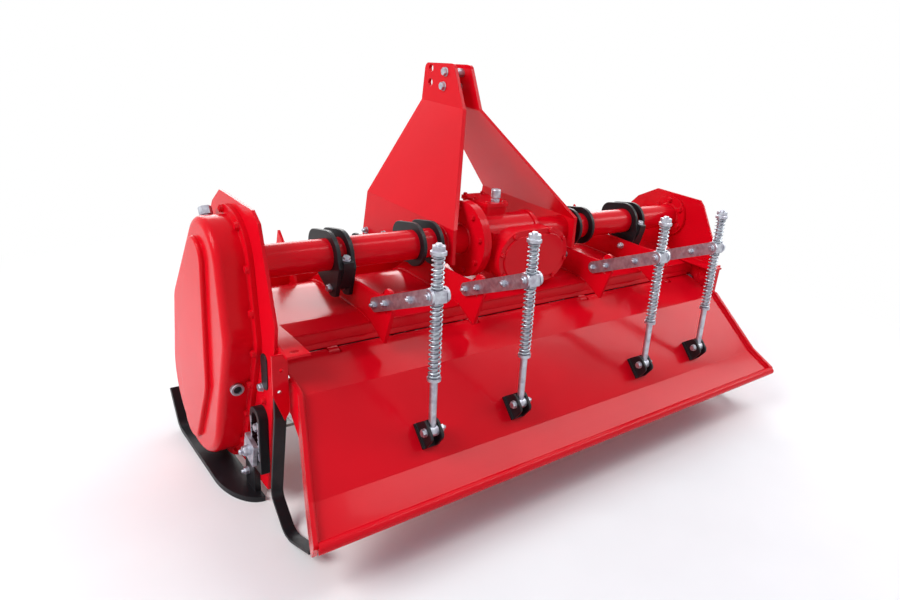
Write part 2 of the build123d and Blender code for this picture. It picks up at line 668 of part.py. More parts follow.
def gear_case():
    """Pressed case of the side gear drive, with a raised panel on its outer face."""
    foot_z = ROTOR_Z + CASE_FOOT[1]
    foot = (ROTOR_Y + CASE_FOOT[0], foot_z, foot_z - FLOOR_Z - CASE_FLOOR_GAP)
    panel_foot = (ROTOR_Y + CASE_PANEL_FOOT[0], FLOOR_Z + CASE_PANEL_FOOT[1], CASE_PANEL_FOOT[2])
    flange = plate_x(hull_outline(CASE_ROUNDS + (foot,), CASE_FLANGE_W), -SIDE_OUT - CASE_FLANGE_T, CASE_FLANGE_T)
    shell = plate_x(hull_outline(CASE_ROUNDS + (foot,)), -SIDE_OUT - CASE_DEPTH, CASE_DEPTH)
    shell = fillet(shell.faces().sort_by(Axis.X)[0].edges(), CASE_FILLET)
    panel_x = -SIDE_OUT - CASE_DEPTH - CASE_PANEL_H
    panel = plate_x(hull_outline(CASE_PANEL + (panel_foot,)), panel_x, 2 * CASE_PANEL_H)
    panel = fillet(panel.faces().sort_by(Axis.X)[0].edges(), CASE_PANEL_FILLET)
    bore_end = -SIDE_OUT - ROTOR_STUB_REACH
    bore = rod_x(ROTOR_STUB_R + RUN_GAP, bore_end, -SIDE_OUT, ROTOR_Y, ROTOR_Z)
    return flange + shell + panel - bore


def bearing_housing():
    """Flanged bearing that carries the rotor's right end."""
    housing = rod_x(BEARING_R, SIDE_OUT, SIDE_OUT + BEARING_T, ROTOR_Y, ROTOR_Z)
    housing += rod_x(BEARING_HUB_R, SIDE_OUT, SIDE_OUT + BEARING_DEPTH, ROTOR_Y, ROTOR_Z)
    bore_end = SIDE_OUT + ROTOR_STUB_REACH
    return housing - rod_x(ROTOR_STUB_R + RUN_GAP, SIDE_OUT, bore_end, ROTOR_Y, ROTOR_Z)


def skid(side):
    """Sled runner under one end of the machine, with two lugs on the side plate."""
    path = FilletPolyline(*above(SKID_PATH, FLOOR_Z), radius=SKID_BEND_R)
    section = make_face(offset(path, amount=SKID_T, side=Side.RIGHT))
    runner = plate_x(section, SIDE_OUT, SKID_W)
    tail_y = section.bounding_box().min.X
    tail = block((SIDE_OUT, SIDE_OUT + SKID_W), (tail_y, tail_y + SKID_TAIL), (FLOOR_Z, FLOOR_Z + SKID_T))
    tail -= Pos(SIDE_OUT, tail_y + SKID_TAIL, FLOOR_Z) * extrude(Ellipse(SKID_W, SKID_TAIL), amount=SKID_T)
    runner -= tail
    for lug in (SKID_FRONT_LUG, SKID_REAR_LUG):
        runner += plate_x(polygon(above(lug, FLOOR_Z)), SIDE_OUT, SKID_T)
    return runner if side > 0 else mirror(runner, about=Plane.YZ)


def skid_adjuster(side):
    """Upright channel with a notched slot, in which the skid's height is set."""
    low, high = (FLOOR_Z + height for height in ADJUSTER_Z)
    channel = block((SIDE_OUT, SIDE_OUT + ADJUSTER_DEPTH), ADJUSTER_Y, (low, high))
    channel = fillet(channel.edges().filter_by(Axis.X).group_by(Axis.Z)[-1], ADJUSTER_ROUND)
    inner = (ADJUSTER_Y[0] + ADJUSTER_T, ADJUSTER_Y[1] - ADJUSTER_T)
    channel -= block((SIDE_OUT, SIDE_OUT + ADJUSTER_DEPTH - ADJUSTER_T), inner, (low, high - ADJUSTER_ROUND))
    width, slot_low, slot_high = ADJUSTER_SLOT
    middle_y = sum(ADJUSTER_Y) / 2
    middle_z = FLOOR_Z + (slot_low + slot_high) / 2
    slot = Pos(middle_y, middle_z) * Rot(0, 0, 90) * SlotOverall(slot_high - slot_low, width)
    notches = int((slot_high - slot_low - 2 * width) / NOTCH_PITCH)
    for step in range(notches + 1):
        z = middle_z + (step - notches / 2) * NOTCH_PITCH
        for edge in (-1, 1):
            slot += Pos(middle_y + edge * width / 2, z) * Rot(0, 0, 45) * Rectangle(NOTCH_SIDE, NOTCH_SIDE)
    channel -= plate_x(slot, SIDE_OUT, ADJUSTER_DEPTH)
    return channel if side > 0 else mirror(channel, about=Plane.YZ)


def skid_clamp(side):
    """Tilted clamp square on the channel, with the bolt that holds the skid."""
    thick, wide, high = SQUARE_SIZE
    bolt_r, bolt_h = SQUARE_BOLT
    square = Pos(thick / 2, 0, 0) * Box(thick, wide, high)
    square += Pos(thick + bolt_h / 2, 0, 0) * Rot(0, 90, 0) * Cylinder(bolt_r, bolt_h)
    y, height = SQUARE_YZ
    square = Pos(SIDE_OUT + ADJUSTER_DEPTH, y, FLOOR_Z + height) * Rot(SQUARE_TILT, 0, 0) * square
    return square if side > 0 else mirror(square, about=Plane.YZ)


def bracket(side):
    """Angle at the corner between the side plate and the board: web, rear tongue and slotted shelf."""
    angle = plate_x(polygon(BRACKET_WEB), SIDE_IN - BRACKET_T, BRACKET_T)
    rear_y = min(y for y, z in BRACKET_WEB)
    tongue = polygon([(SIDE_IN + x, z) for x, z in BRACKET_TONGUE])
    for x, z in BRACKET_HOLES:
        tongue -= Pos(SIDE_IN + x, z) * Circle(BRACKET_HOLE_R)
    angle += Pos(0, rear_y, 0) * extrude(Plane.XZ * tongue, amount=BRACKET_T)
    top_z = BRACKET_WEB[1][1]
    shelf_x = (SIDE_IN - BRACKET_SHELF_IN, SIDE_IN)
    shelf = block(shelf_x, BRACKET_SHELF_Y, (top_z - BRACKET_T, top_z))
    hole = Pos(sum(shelf_x) / 2, sum(BRACKET_SHELF_Y) / 2, top_z) * SlotOverall(*BRACKET_SLOT)
    shelf -= extrude(hole, amount=BRACKET_T, both=True)
    angle += shelf
    return angle if side > 0 else mirror(angle, about=Plane.YZ)


def rear_leg(side):
    """Bent strip on the bracket's tongue that rests on the floor when the machine is parked."""
    rear_y = min(y for y, z in BRACKET_WEB)
    path = FilletPolyline(
        (rear_y, LEG_TOP[0]),
        (rear_y, LEG_TOP[1]),
        (LEG_KNEE[0], FLOOR_Z + LEG_KNEE[1]),
        (LEG_FOOT_Y[0], FLOOR_Z + LEG_T),
        (LEG_FOOT_Y[1], FLOOR_Z + LEG_T),
        (LEG_TOE[0], FLOOR_Z + LEG_TOE[1]),
        radius=LEG_BEND_R,
    )
    leg = plate_x(make_face(offset(path, amount=LEG_T, side=Side.LEFT)), SIDE_IN - LEG_IN, LEG_W)
    return leg if side > 0 else mirror(leg, about=Plane.YZ)


def tine(x_face, hand):
    """One L-shaped tine: a curved shank on a flange face and a tip bent along the rotor."""
    shank = polygon([(TINE_R * across, TINE_R * out) for across, out in TINE_SHANK])
    low = x_face if hand > 0 else x_face - TINE_T
    blade = plate_x(shank, low, TINE_T)
    ring = Circle(TINE_R) - Circle(TINE_R - TINE_T)
    edges = [(2 * TINE_R * sin(radians(angle)), 2 * TINE_R * cos(radians(angle))) for angle in TINE_TIP_ANGLES]
    ring &= polygon([(0, 0), *edges])
    tip_low = x_face if hand > 0 else x_face - TINE_TIP_W
    return blade + plate_x(ring, tip_low, TINE_TIP_W)


def rotor():
    """Rotor tube with its flanges and L-shaped tines, set out in a spiral."""
    reach = SIDE_IN - ROTOR_END_GAP
    stub = SIDE_OUT + ROTOR_STUB_REACH - ROTOR_STUB_END_GAP
    shaft = rod_x(ROTOR_TUBE_R, -reach, reach) + rod_x(ROTOR_STUB_R, -stub, stub)
    pitch = 2 * TINE_FIRST_X / (TINE_FLANGES - 1)
    pieces = []
    for row in range(TINE_FLANGES):
        x = -TINE_FIRST_X + row * pitch
        pieces.append(rod_x(TINE_FLANGE_R, x - TINE_FLANGE_T / 2, x + TINE_FLANGE_T / 2))
        for index in range(TINES_PER_FLANGE):
            hand = 1 if index % 2 else -1
            turn = index * 360 / TINES_PER_FLANGE + row * TINE_TWIST
            pieces.append(Rot(turn, 0, 0) * tine(x + hand * (TINE_FLANGE_T / 2 - TINE_SINK), hand))
    return Pos(0, ROTOR_Y, ROTOR_Z) * shaft.fuse(*pieces)


def build():
    """Every piece of the machine by name, in the design frame."""
    nodes = {
        "tube_left": tube(-1),
        "tube_right": tube(1),
        "gearbox_housing": gearbox_housing(),
        "gearbox_cover": gearbox_cover(),
        "gearbox_lid": gearbox_lid(),
        "pto_shaft": pto_shaft(),
        "mast_left": mast(-1),
        "mast_right": mast(1),
        "mast_spacers": mast_spacers(),
        "clamp_left": clamp(-1),
        "clamp_right": clamp(1),
        "hitch_left": hitch(-1),
        "hitch_right": hitch(1),
        "hood": hood(),
        "hood_ribs": hood_ribs(),
        "front_gussets": front_gussets(),
        "rear_beam": rear_beam(),
        "hinge_rod": hinge_rod(),
        "spring_bars": spring_bars(),
        "side_plate_left": side_plate(-1),
        "side_plate_right": side_plate(1),
        "gear_case": gear_case(),
        "bearing_housing": bearing_housing(),
        "rotor": rotor(),
        "trailing_board": trailing_board(),
        "board_end_left": board_end(-1),
        "board_end_right": board_end(1),
        "board_clevises": [clevis(x) for x in ROD_X],
    }
    pairs = {
        "skid": skid,
        "skid_adjuster": skid_adjuster,
        "skid_clamp": skid_clamp,
        "bracket": bracket,
        "rear_leg": rear_leg,
    }
    for name, make in pairs.items():
        nodes[name + "_left"] = make(-1)
        nodes[name + "_right"] = make(1)
    for number, x in enumerate(ROD_X, start=1):
        nodes[f"swivel_{number}"] = swivel(x)
        nodes[f"upper_spring_{number}"] = upper_spring(x)
        nodes[f"spring_rod_{number}"] = spring_rod(x)
        nodes[f"lower_spring_{number}"] = lower_spring(x)
    return nodes


def solids_of(piece):
    """The solids of a piece, which is one shape or a list of shapes."""
    shapes = piece if isinstance(piece, list) else [piece]
    return [solid for shape in shapes for solid in shape.solids()]


NODES = {name: solids_of(piece) for name, piece in build().items()}
BOXES = [solid.bounding_box() for solids in NODES.values() for solid in solids]
LOW = [min(getattr(box.min, axis) for box in BOXES) for axis in "XYZ"]
HIGH = [max(getattr(box.max, axis) for box in BOXES) for axis in "XYZ"]
SHIFT = (-(LOW[0] + HIGH[0]) / 2, -(LOW[1] + HIGH[1]) / 2, -LOW[2])

os.makedirs("parts", exist_ok=True)
for node, solids in NODES.items():
    moved = [Pos(*SHIFT) * solid for solid in solids]
    export_step(moved[0] if len(moved) == 1 else Compound(children=moved), f"parts/{node}.step")
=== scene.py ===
"""Studio picture of a tractor-mounted rotary tiller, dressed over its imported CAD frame.

The CAD solids keep their place and shape. This script gives each of them its finish, winds real coils in
place of the ridged spring sleeves, and adds the bolts, welds, plugs and pins that such a machine carries.
Sizes are in millimetres from the main tube's axis at the middle of the machine: X to the right seen from
behind, Y towards the tractor and Z up.
"""

import logging
import math
from dataclasses import dataclass
from enum import Enum
from typing import Any, Iterable, Mapping, Sequence

import bmesh
import bpy
from mathutils import Matrix, Vector


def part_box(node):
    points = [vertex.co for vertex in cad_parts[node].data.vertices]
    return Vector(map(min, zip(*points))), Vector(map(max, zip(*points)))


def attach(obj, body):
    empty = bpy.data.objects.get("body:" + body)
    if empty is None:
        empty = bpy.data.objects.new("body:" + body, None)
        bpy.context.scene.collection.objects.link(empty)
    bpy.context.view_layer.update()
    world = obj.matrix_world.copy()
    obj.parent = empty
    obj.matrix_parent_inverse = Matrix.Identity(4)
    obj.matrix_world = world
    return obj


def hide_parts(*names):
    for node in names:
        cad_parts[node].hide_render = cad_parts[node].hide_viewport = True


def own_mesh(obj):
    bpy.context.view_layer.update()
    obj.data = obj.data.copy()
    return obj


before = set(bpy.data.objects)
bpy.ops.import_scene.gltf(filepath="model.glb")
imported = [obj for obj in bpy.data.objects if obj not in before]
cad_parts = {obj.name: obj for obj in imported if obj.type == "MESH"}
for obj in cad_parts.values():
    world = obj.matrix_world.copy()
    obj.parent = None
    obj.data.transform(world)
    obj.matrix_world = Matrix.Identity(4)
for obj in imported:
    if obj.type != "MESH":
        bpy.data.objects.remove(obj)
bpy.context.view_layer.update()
LOG = logging.getLogger("tiller")
MM = 0.001
ROD_X = (-568.0, -270.0, 270.0, 568.0)
RING_STEPS = 120  # corners of a plate's outline round its hole
OBLONG_STEPS = 28
PLATE_EDGE = 0.8  # broken edge of a cut plate
SHARP_ANGLE = 38.0  # an edge that bends more than this stays sharp
SPLINE_TOP = (-0.25, 0.0, 0.25)  # corners of one spline, in shares of its pitch
SPLINE_GROOVE = (0.3, 0.5, 0.7)
WELD_RIPPLE = (-0.08, 0.14)
WELD_STEPS = 48
BEVEL_SAMPLES = 4
Pair = tuple[float, float]
Triple = tuple[float, float, float]
Profile = tuple[Pair, ...]


class Body(str, Enum):
    """The moving bodies that a single piece rides on."""

    FRAME = "frame"
    ROTOR = "rotor"
    PTO = "pto"
    BOARD = "board"


class Slot(str, Enum):
    """The record's material slots."""

    RED = "red_paint"
    BLACK = "black_paint"
    ZINC = "zinc_plate"


class Side(Enum):
    """The two ends of the machine, seen from behind."""

    LEFT = -1
    RIGHT = 1


def tube_axis() -> Vector:
    """Finds the main tube's axis at the middle of the machine.

    Returns:
        The point in the frame's metres.
    """
    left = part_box("side_plate_left")
    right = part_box("side_plate_right")
    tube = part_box("tube_left")
    return Vector(((left[0].x + right[1].x) / 2, (tube[0].y + tube[1].y) / 2, (tube[0].z + tube[1].z) / 2))


DATUM = tube_axis()


def at(x: float, y: float, z: float) -> Vector:
    """Turns a place on the machine in millimetres into the frame's metres.

    Args:
        x: Distance to the right of the middle.
        y: Distance in front of the tube's axis.
        z: Height above the tube's axis.

    Returns:
        The point in metres.
    """
    return DATUM + Vector((x, y, z)) * MM


def facing(point: Vector, axis: Sequence[float], turn: float = 0.0) -> Matrix:
    """Makes a millimetre frame at a point with its Z along an axis.

    Args:
        point: Origin of the frame in metres.
        axis: Direction of the frame's Z.
        turn: Degrees about that axis.

    Returns:
        The matrix from that frame to the scene.
    """
    lean = Vector((0, 0, 1)).rotation_difference(Vector(axis).normalized()).to_matrix().to_4x4()
    spin = Matrix.Rotation(math.radians(turn), 4, "Z")
    return Matrix.Translation(point) @ lean @ spin @ Matrix.Scale(MM, 4)


def circle(middle: Pair, radius: float, count: int, start: float = 0.0) -> list[Pair]:
    """Spreads points evenly on a circle.

    Args:
        middle: The circle's middle.
        radius: Its radius.
        count: Number of points.
        start: Degrees of the first one.

    Returns:
        The points.
    """
    turns = [math.radians(start + 360 * step / count) for step in range(count)]
    return [(middle[0] + radius * math.cos(turn), middle[1] + radius * math.sin(turn)) for turn in turns]


def linear(colour: str) -> tuple[float, float, float, float]:
    """Turns an sRGB hex colour into the linear values that the shader takes.

    Args:
        colour: The colour as #RRGGBB.

    Returns:
        Linear red, green and blue, with an alpha of 1.
    """
    parts = [int(colour[start : start + 2], 16) / 255 for start in (1, 3, 5)]
    values = [part / 12.92 if part <= 0.04045 else ((part + 0.055) / 1.055) ** 2.4 for part in parts]
    return (*values, 1.0)


def per_metre(size_mm: float) -> float:
    """Gives the texture scale at which one feature is this many millimetres wide."""
    return 1.0 / (size_mm * MM)


def add_node(
    tree: bpy.types.NodeTree,
    kind: str,
    settings: Mapping[str, Any] | None = None,
    inputs: Mapping[str | int, Any] | None = None,
) -> bpy.types.Node:
    """Adds a node with its settings and links.

    Args:
        tree: The material's node tree.
        kind: Blender's name for the node.
        settings: Properties to set on the node.
        inputs: For each input a value, or an output socket to link to it.

    Returns:
        The new node.
    """
    node = tree.nodes.new(kind)
    for name, value in (settings or {}).items():
        setattr(node, name, value)
    for name, value in (inputs or {}).items():
        if isinstance(value, bpy.types.NodeSocket):
            tree.links.new(value, node.inputs[name])
        else:
            node.inputs[name].default_value = value
    return node


def seen_ray(tree: bpy.types.NodeTree) -> bpy.types.NodeSocket:
    """Tells the rays that the eye follows: straight, by a mirror or through glass.

    Args:
        tree: The material's or world's node tree.

    Returns:
        A socket that is 1 for those rays and 0 for the others.
    """
    path = add_node(tree, "ShaderNodeLightPath").outputs
    seen = path["Is Camera Ray"]
    for kind in ("Is Glossy Ray", "Is Transmission Ray"):
        either = add_node(tree, "ShaderNodeMath", {"operation": "MAXIMUM"}, {0: seen, 1: path[kind]})
        seen = either.outputs["Value"]
    return seen


def mottle(
    tree: bpy.types.NodeTree,
    size_mm: float,
    detail: float,
    taken: Pair = (0.0, 1.0),
    given: Pair = (0.0, 1.0),
    stir: float = 0.0,
) -> bpy.types.NodeSocket:
    """Draws uneven patches over a surface: noise of one size, stretched over a span of values.

    Args:
        tree: The material's node tree.
        size_mm: Width of a patch.
        detail: Steps of finer noise in it.
        taken: The span of the noise that is used.
        given: The values that this span becomes.
        stir: How far the patches are drawn into each other.

    Returns:
        The socket with the value.
    """
    where = add_node(tree, "ShaderNodeTexCoord").outputs["Object"]
    patches = {"Vector": where, "Scale": per_metre(size_mm), "Detail": detail, "Distortion": stir}
    noise = add_node(tree, "ShaderNodeTexNoise", inputs=patches).outputs["Fac"]
    span = {"From Min": taken[0], "From Max": taken[1], "To Min": given[0], "To Max": given[1]}
    return add_node(tree, "ShaderNodeMapRange", inputs={"Value": noise, **span}).outputs["Result"]


class Finish:
    """A surface finish that makes its material when it is first asked for."""

    name: str
    slot: Slot

    def material(self) -> bpy.types.Material:
        """Gives the finish's material, made once.

        Returns:
            The material.
        """
        found = bpy.data.materials.get(self.name)
        if found:
            return found
        made = bpy.data.materials.new(self.name)
        made.use_nodes = True
        made.node_tree.nodes.clear()
        shader = self.draw(made.node_tree)
        add_node(made.node_tree, "ShaderNodeOutputMaterial", inputs={"Surface": shader.outputs[0]})
        return made

    def draw(self, tree: bpy.types.NodeTree) -> bpy.types.Node:
        """Draws the finish's nodes and returns its shader."""
        raise NotImplementedError


@dataclass(frozen=True)
class SprayedEnamel(Finish):
    """Gloss enamel sprayed on welded steel.

    It gives the eye a deep, slightly orange red with a wet shine: pale reflections of the lamps on sloping
    faces, a faint orange peel in them, and soft paint-filled edges.
    """

    name: str = "sprayed_red_enamel"
    slot: Slot = Slot.RED
    colour: str = "#DE081E"
    thin: str = "#CC0416"
    cloud_mm: float = 260.0
    dust_mm: float = 45.0
    rough: Pair = (0.18, 0.24)
    peel_mm: float = 14.0  # the real peel is about 2 mm wide, drawn coarser so that it shows
    peel_strength: float = 0.025
    peel_depth_mm: float = 0.3
    edge_mm: float = 3.0
    ior: float = 1.45
    specular: float = 0.12
    coat: Pair = (0.06, 0.05)

    def draw(self, tree: bpy.types.NodeTree) -> bpy.types.Node:
        """Draws the paint.

        Args:
            tree: The material's node tree.

        Returns:
            The shader node.
        """
        colours = {0: mottle(tree, self.cloud_mm, 3.0), 6: linear(self.colour), 7: linear(self.thin)}
        tone = add_node(tree, "ShaderNodeMix", {"data_type": "RGBA"}, colours)
        edge = add_node(tree, "ShaderNodeBevel", {"samples": BEVEL_SAMPLES}, {"Radius": self.edge_mm * MM})
        bump = add_node(
            tree,
            "ShaderNodeBump",
            inputs={
                "Strength": self.peel_strength,
                "Distance": self.peel_depth_mm * MM,
                "Height": mottle(tree, self.peel_mm, 1.5),
                "Normal": edge.outputs["Normal"],
            },
        )
        return add_node(
            tree,
            "ShaderNodeBsdfPrincipled",
            inputs={
                "Base Color": tone.outputs[2],
                "Roughness": mottle(tree, self.dust_mm, 5.0, (0.35, 0.75), self.rough),
                "IOR": self.ior,
                "Specular IOR Level": self.specular,
                "Coat Weight": self.coat[0],
                "Coat Roughness": self.coat[1],
                "Normal": bump.outputs["Normal"],
            },
        )


@dataclass(frozen=True)
class PowderBlack(Finish):
    """Black powder coat, baked on plasma-cut plate.

    It gives the eye a near-black satin skin with a fine pebbled grain, and greyer patches where it lies
    thin.
    """

    name: str = "black_powder_coat"
    slot: Slot = Slot.BLACK
    colour: str = "#121216"
    worn: str = "#2A2A30"
    cloud_mm: float = 60.0
    grain_mm: float = 3.5  # the real grain is under 1 mm, drawn coarser so that it shows
    grain_strength: float = 0.25
    grain_depth_mm: float = 0.3
    edge_mm: float = 2.0
    rough: float = 0.42
    ior: float = 1.5
    specular: float = 0.3

    def draw(self, tree: bpy.types.NodeTree) -> bpy.types.Node:
        """Draws the coat.

        Args:
            tree: The material's node tree.

        Returns:
            The shader node.
        """
        thin = mottle(tree, self.cloud_mm, 6.0, (0.5, 0.8), (0.0, 0.6))
        colours = {0: thin, 6: linear(self.colour), 7: linear(self.worn)}
        tone = add_node(tree, "ShaderNodeMix", {"data_type": "RGBA"}, colours)
        edge = add_node(tree, "ShaderNodeBevel", {"samples": BEVEL_SAMPLES}, {"Radius": self.edge_mm * MM})
        bump = add_node(
            tree,
            "ShaderNodeBump",
            inputs={
                "Strength": self.grain_strength,
                "Distance": self.grain_depth_mm * MM,
                "Height": mottle(tree, self.grain_mm, 2.0),
                "Normal": edge.outputs["Normal"],
            },
        )
        return add_node(
            tree,
            "ShaderNodeBsdfPrincipled",
            inputs={
                "Base Color": tone.outputs[2],
                "Roughness": self.rough,
                "IOR": self.ior,
                "Specular IOR Level": self.specular,
                "Normal": bump.outputs["Normal"],
            },
        )


@dataclass(frozen=True)
class ZincPlate(Finish):
    """Bright zinc plating, passivated, on rolled or drawn steel.

    It gives the eye a cool grey metal with a cloudy lilac cast from the passivation, and dull spots.
    """

    name: str = "passivated_zinc_plate"
    slot: Slot = Slot.ZINC
    colour: str = "#C3C8D0"
    cast: str = "#A29FAC"
    cloud_mm: float = 16.0
    cloud_stir: float = 0.6
    spot_mm: float = 5.0
    spot_strength: float = 0.15
    spot_depth_mm: float = 0.2
    rough: Pair = (0.36, 0.56)

    def draw(self, tree: bpy.types.NodeTree) -> bpy.types.Node:
        """Draws the plating.

        Args:
            tree: The material's node tree.

        Returns:
            The shader node.
        """
        cast = mottle(tree, self.cloud_mm, 4.0, (0.35, 0.65), stir=self.cloud_stir)
        colours = {0: cast, 6: linear(self.colour), 7: linear(self.cast)}
        tone = add_node(tree, "ShaderNodeMix", {"data_type": "RGBA"}, colours)
        bump = add_node(
            tree,
            "ShaderNodeBump",
            inputs={
                "Strength": self.spot_strength,
                "Distance": self.spot_depth_mm * MM,
                "Height": mottle(tree, self.spot_mm, 3.0),
            },
        )
        return add_node(
            tree,
            "ShaderNodeBsdfPrincipled",
            inputs={
                "Base Color": tone.outputs[2],
                "Metallic": 1.0,
                "Roughness": mottle(tree, self.spot_mm, 3.0, (0.3, 0.7), self.rough),
                "Normal": bump.outputs["Normal"],
            },
        )


@dataclass(frozen=True)
class TineSteel(Finish):
    """Black dip paint on forged tines, ground bright where they cut.

    It gives the eye a dull black rotor whose tips, beyond the paint's edge, show brushed bare steel.
    """

    name: str = "dipped_tine_steel"
    slot: Slot = Slot.BLACK
    paint: str = "#1A1A1D"
    bare: str = "#A7A49F"
    axis: Pair = (130.0, -370.0)
    paint_edge_mm: Pair = (200.0, 218.0)  # from the rotor's axis, with the ragged line's own reach
    ragged_mm: float = 30.0
    patch_mm: float = 22.0
    grind_mm: float = 2.5
    grind_strength: float = 0.3
    grind_depth_mm: float = 0.3
    rough: float = 0.45

    def draw(self, tree: bpy.types.NodeTree) -> bpy.types.Node:
        """Draws the paint and the bare tips.

        Args:
            tree: The material's node tree.

        Returns:
            The shader node.
        """
        where = add_node(tree, "ShaderNodeTexCoord").outputs["Object"]
        axis = at(0.0, *self.axis)
        flat = {0: where, 1: (0.0, 1.0, 1.0)}
        across = add_node(tree, "ShaderNodeVectorMath", {"operation": "MULTIPLY"}, flat).outputs["Vector"]
        ends = {0: across, 1: (0.0, axis.y, axis.z)}
        reach = add_node(tree, "ShaderNodeVectorMath", {"operation": "DISTANCE"}, ends).outputs["Value"]
        parts = {0: reach, 1: mottle(tree, self.patch_mm, 4.0, given=(0.0, self.ragged_mm * MM))}
        ragged = add_node(tree, "ShaderNodeMath", {"operation": "ADD"}, parts).outputs["Value"]
        low, high = (edge * MM for edge in self.paint_edge_mm)
        line = {"Value": ragged, "From Min": low, "From Max": high}
        worn = add_node(tree, "ShaderNodeMapRange", inputs=line).outputs["Result"]
        colours = {0: worn, 6: linear(self.paint), 7: linear(self.bare)}
        tone = add_node(tree, "ShaderNodeMix", {"data_type": "RGBA"}, colours)
        bump = add_node(
            tree,
            "ShaderNodeBump",
            inputs={
                "Strength": self.grind_strength,
                "Distance": self.grind_depth_mm * MM,
                "Height": mottle(tree, self.grind_mm, 2.0),
            },
        )
        return add_node(
            tree,
            "ShaderNodeBsdfPrincipled",
            inputs={
                "Base Color": tone.outputs[2],
                "Metallic": worn,
                "Roughness": self.rough,
                "Normal": bump.outputs["Normal"],
            },
        )


@dataclass(frozen=True)
class StudioFloor(Finish):
    """Matt white painted studio floor: pale, without shine, with a barely uneven coat."""

    name: str = "matt_studio_floor"
    colour: str = "#F4F4F2"
    roll: str = "#EEEEEC"
    roll_mm: float = 220.0
    rough: float = 0.9
    fade_m: Pair = (1.1, 2.6)  # beyond this the eye sees the white room that the floor runs into

    def draw(self, tree: bpy.types.NodeTree) -> bpy.types.Node:
        """Draws the floor's paint.

        Args:
            tree: The material's node tree.

        Returns:
            The shader node.
        """
        colours = {0: mottle(tree, self.roll_mm, 2.0), 6: linear(self.colour), 7: linear(self.roll)}
        tone = add_node(tree, "ShaderNodeMix", {"data_type": "RGBA"}, colours)
        paint_inputs = {"Base Color": tone.outputs[2], "Roughness": self.rough}
        coat = add_node(tree, "ShaderNodeBsdfPrincipled", inputs=paint_inputs).outputs[0]
        where = add_node(tree, "ShaderNodeTexCoord").outputs["Object"]
        away = add_node(tree, "ShaderNodeVectorMath", {"operation": "LENGTH"}, {0: where}).outputs["Value"]
        far = add_node(
            tree,
            "ShaderNodeMapRange",
            {"interpolation_type": "SMOOTHSTEP"},
            {"Value": away, "From Min": self.fade_m[0], "From Max": self.fade_m[1]},
        ).outputs["Result"]
        both_true = {0: far, 1: seen_ray(tree)}
        fade = add_node(tree, "ShaderNodeMath", {"operation": "MULTIPLY"}, both_true).outputs["Value"]
        glow = {"Color": (1.0, 1.0, 1.0, 1.0), "Strength": 1.0}
        white = add_node(tree, "ShaderNodeEmission", inputs=glow).outputs[0]
        return add_node(tree, "ShaderNodeMixShader", inputs={0: fade, 1: coat, 2: white})


RED = SprayedEnamel()
BLACK = PowderBlack()
ZINC = ZincPlate()
SPRING_WIRE = ZincPlate(
    name="zinc_spring_wire", colour="#AEB6BD", cast="#8C959F", cloud_mm=30.0, rough=(0.32, 0.44)
)
TINES = TineSteel()


def paint(names: Iterable[str], finish: Finish) -> None:
    """Gives CAD nodes a finish.

    Args:
        names: The nodes' names.
        finish: What they are coated with.
    """
    for name in names:
        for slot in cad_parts[name].material_slots:
            slot.material = finish.material()
        LOG.info("%s wears %s", name, finish.name)


def reach_in(outline: Sequence[Pair], turn: float) -> float:
    """Tells how far a ray from the origin runs inside a convex outline.

    Args:
        outline: The outline's corners, counter-clockwise round the origin.
        turn: The ray's angle in radians.

    Returns:
        The length of the ray.
    """
    ray = Vector((math.cos(turn), math.sin(turn)))
    ends = []
    for start, end in zip(outline, [*outline[1:], outline[0]]):
        normal = Vector((end[1] - start[1], start[0] - end[0]))
        if normal.dot(ray) > 1e-6:
            ends.append(normal.dot(Vector(start)) / normal.dot(ray))
    return min(ends)


def hull(rounds: Sequence[Sequence[float]], grow: float = 0.0) -> list[Pair]:
    """Draws a band round circles.

    Args:
        rounds: Each circle's middle and radius.
        grow: Distance of the line outside the circles.

    Returns:
        Points of the line, counter-clockwise, one for each degree of its direction.
    """
    points: list[Pair] = []
    for step in range(360):
        normal = Vector((math.cos(math.radians(step)), math.sin(math.radians(step))))
        ends = [Vector(circle[:2]) + normal * (circle[2] + grow) for circle in rounds]
        points.append(tuple(max(ends, key=normal.dot)))
    return points


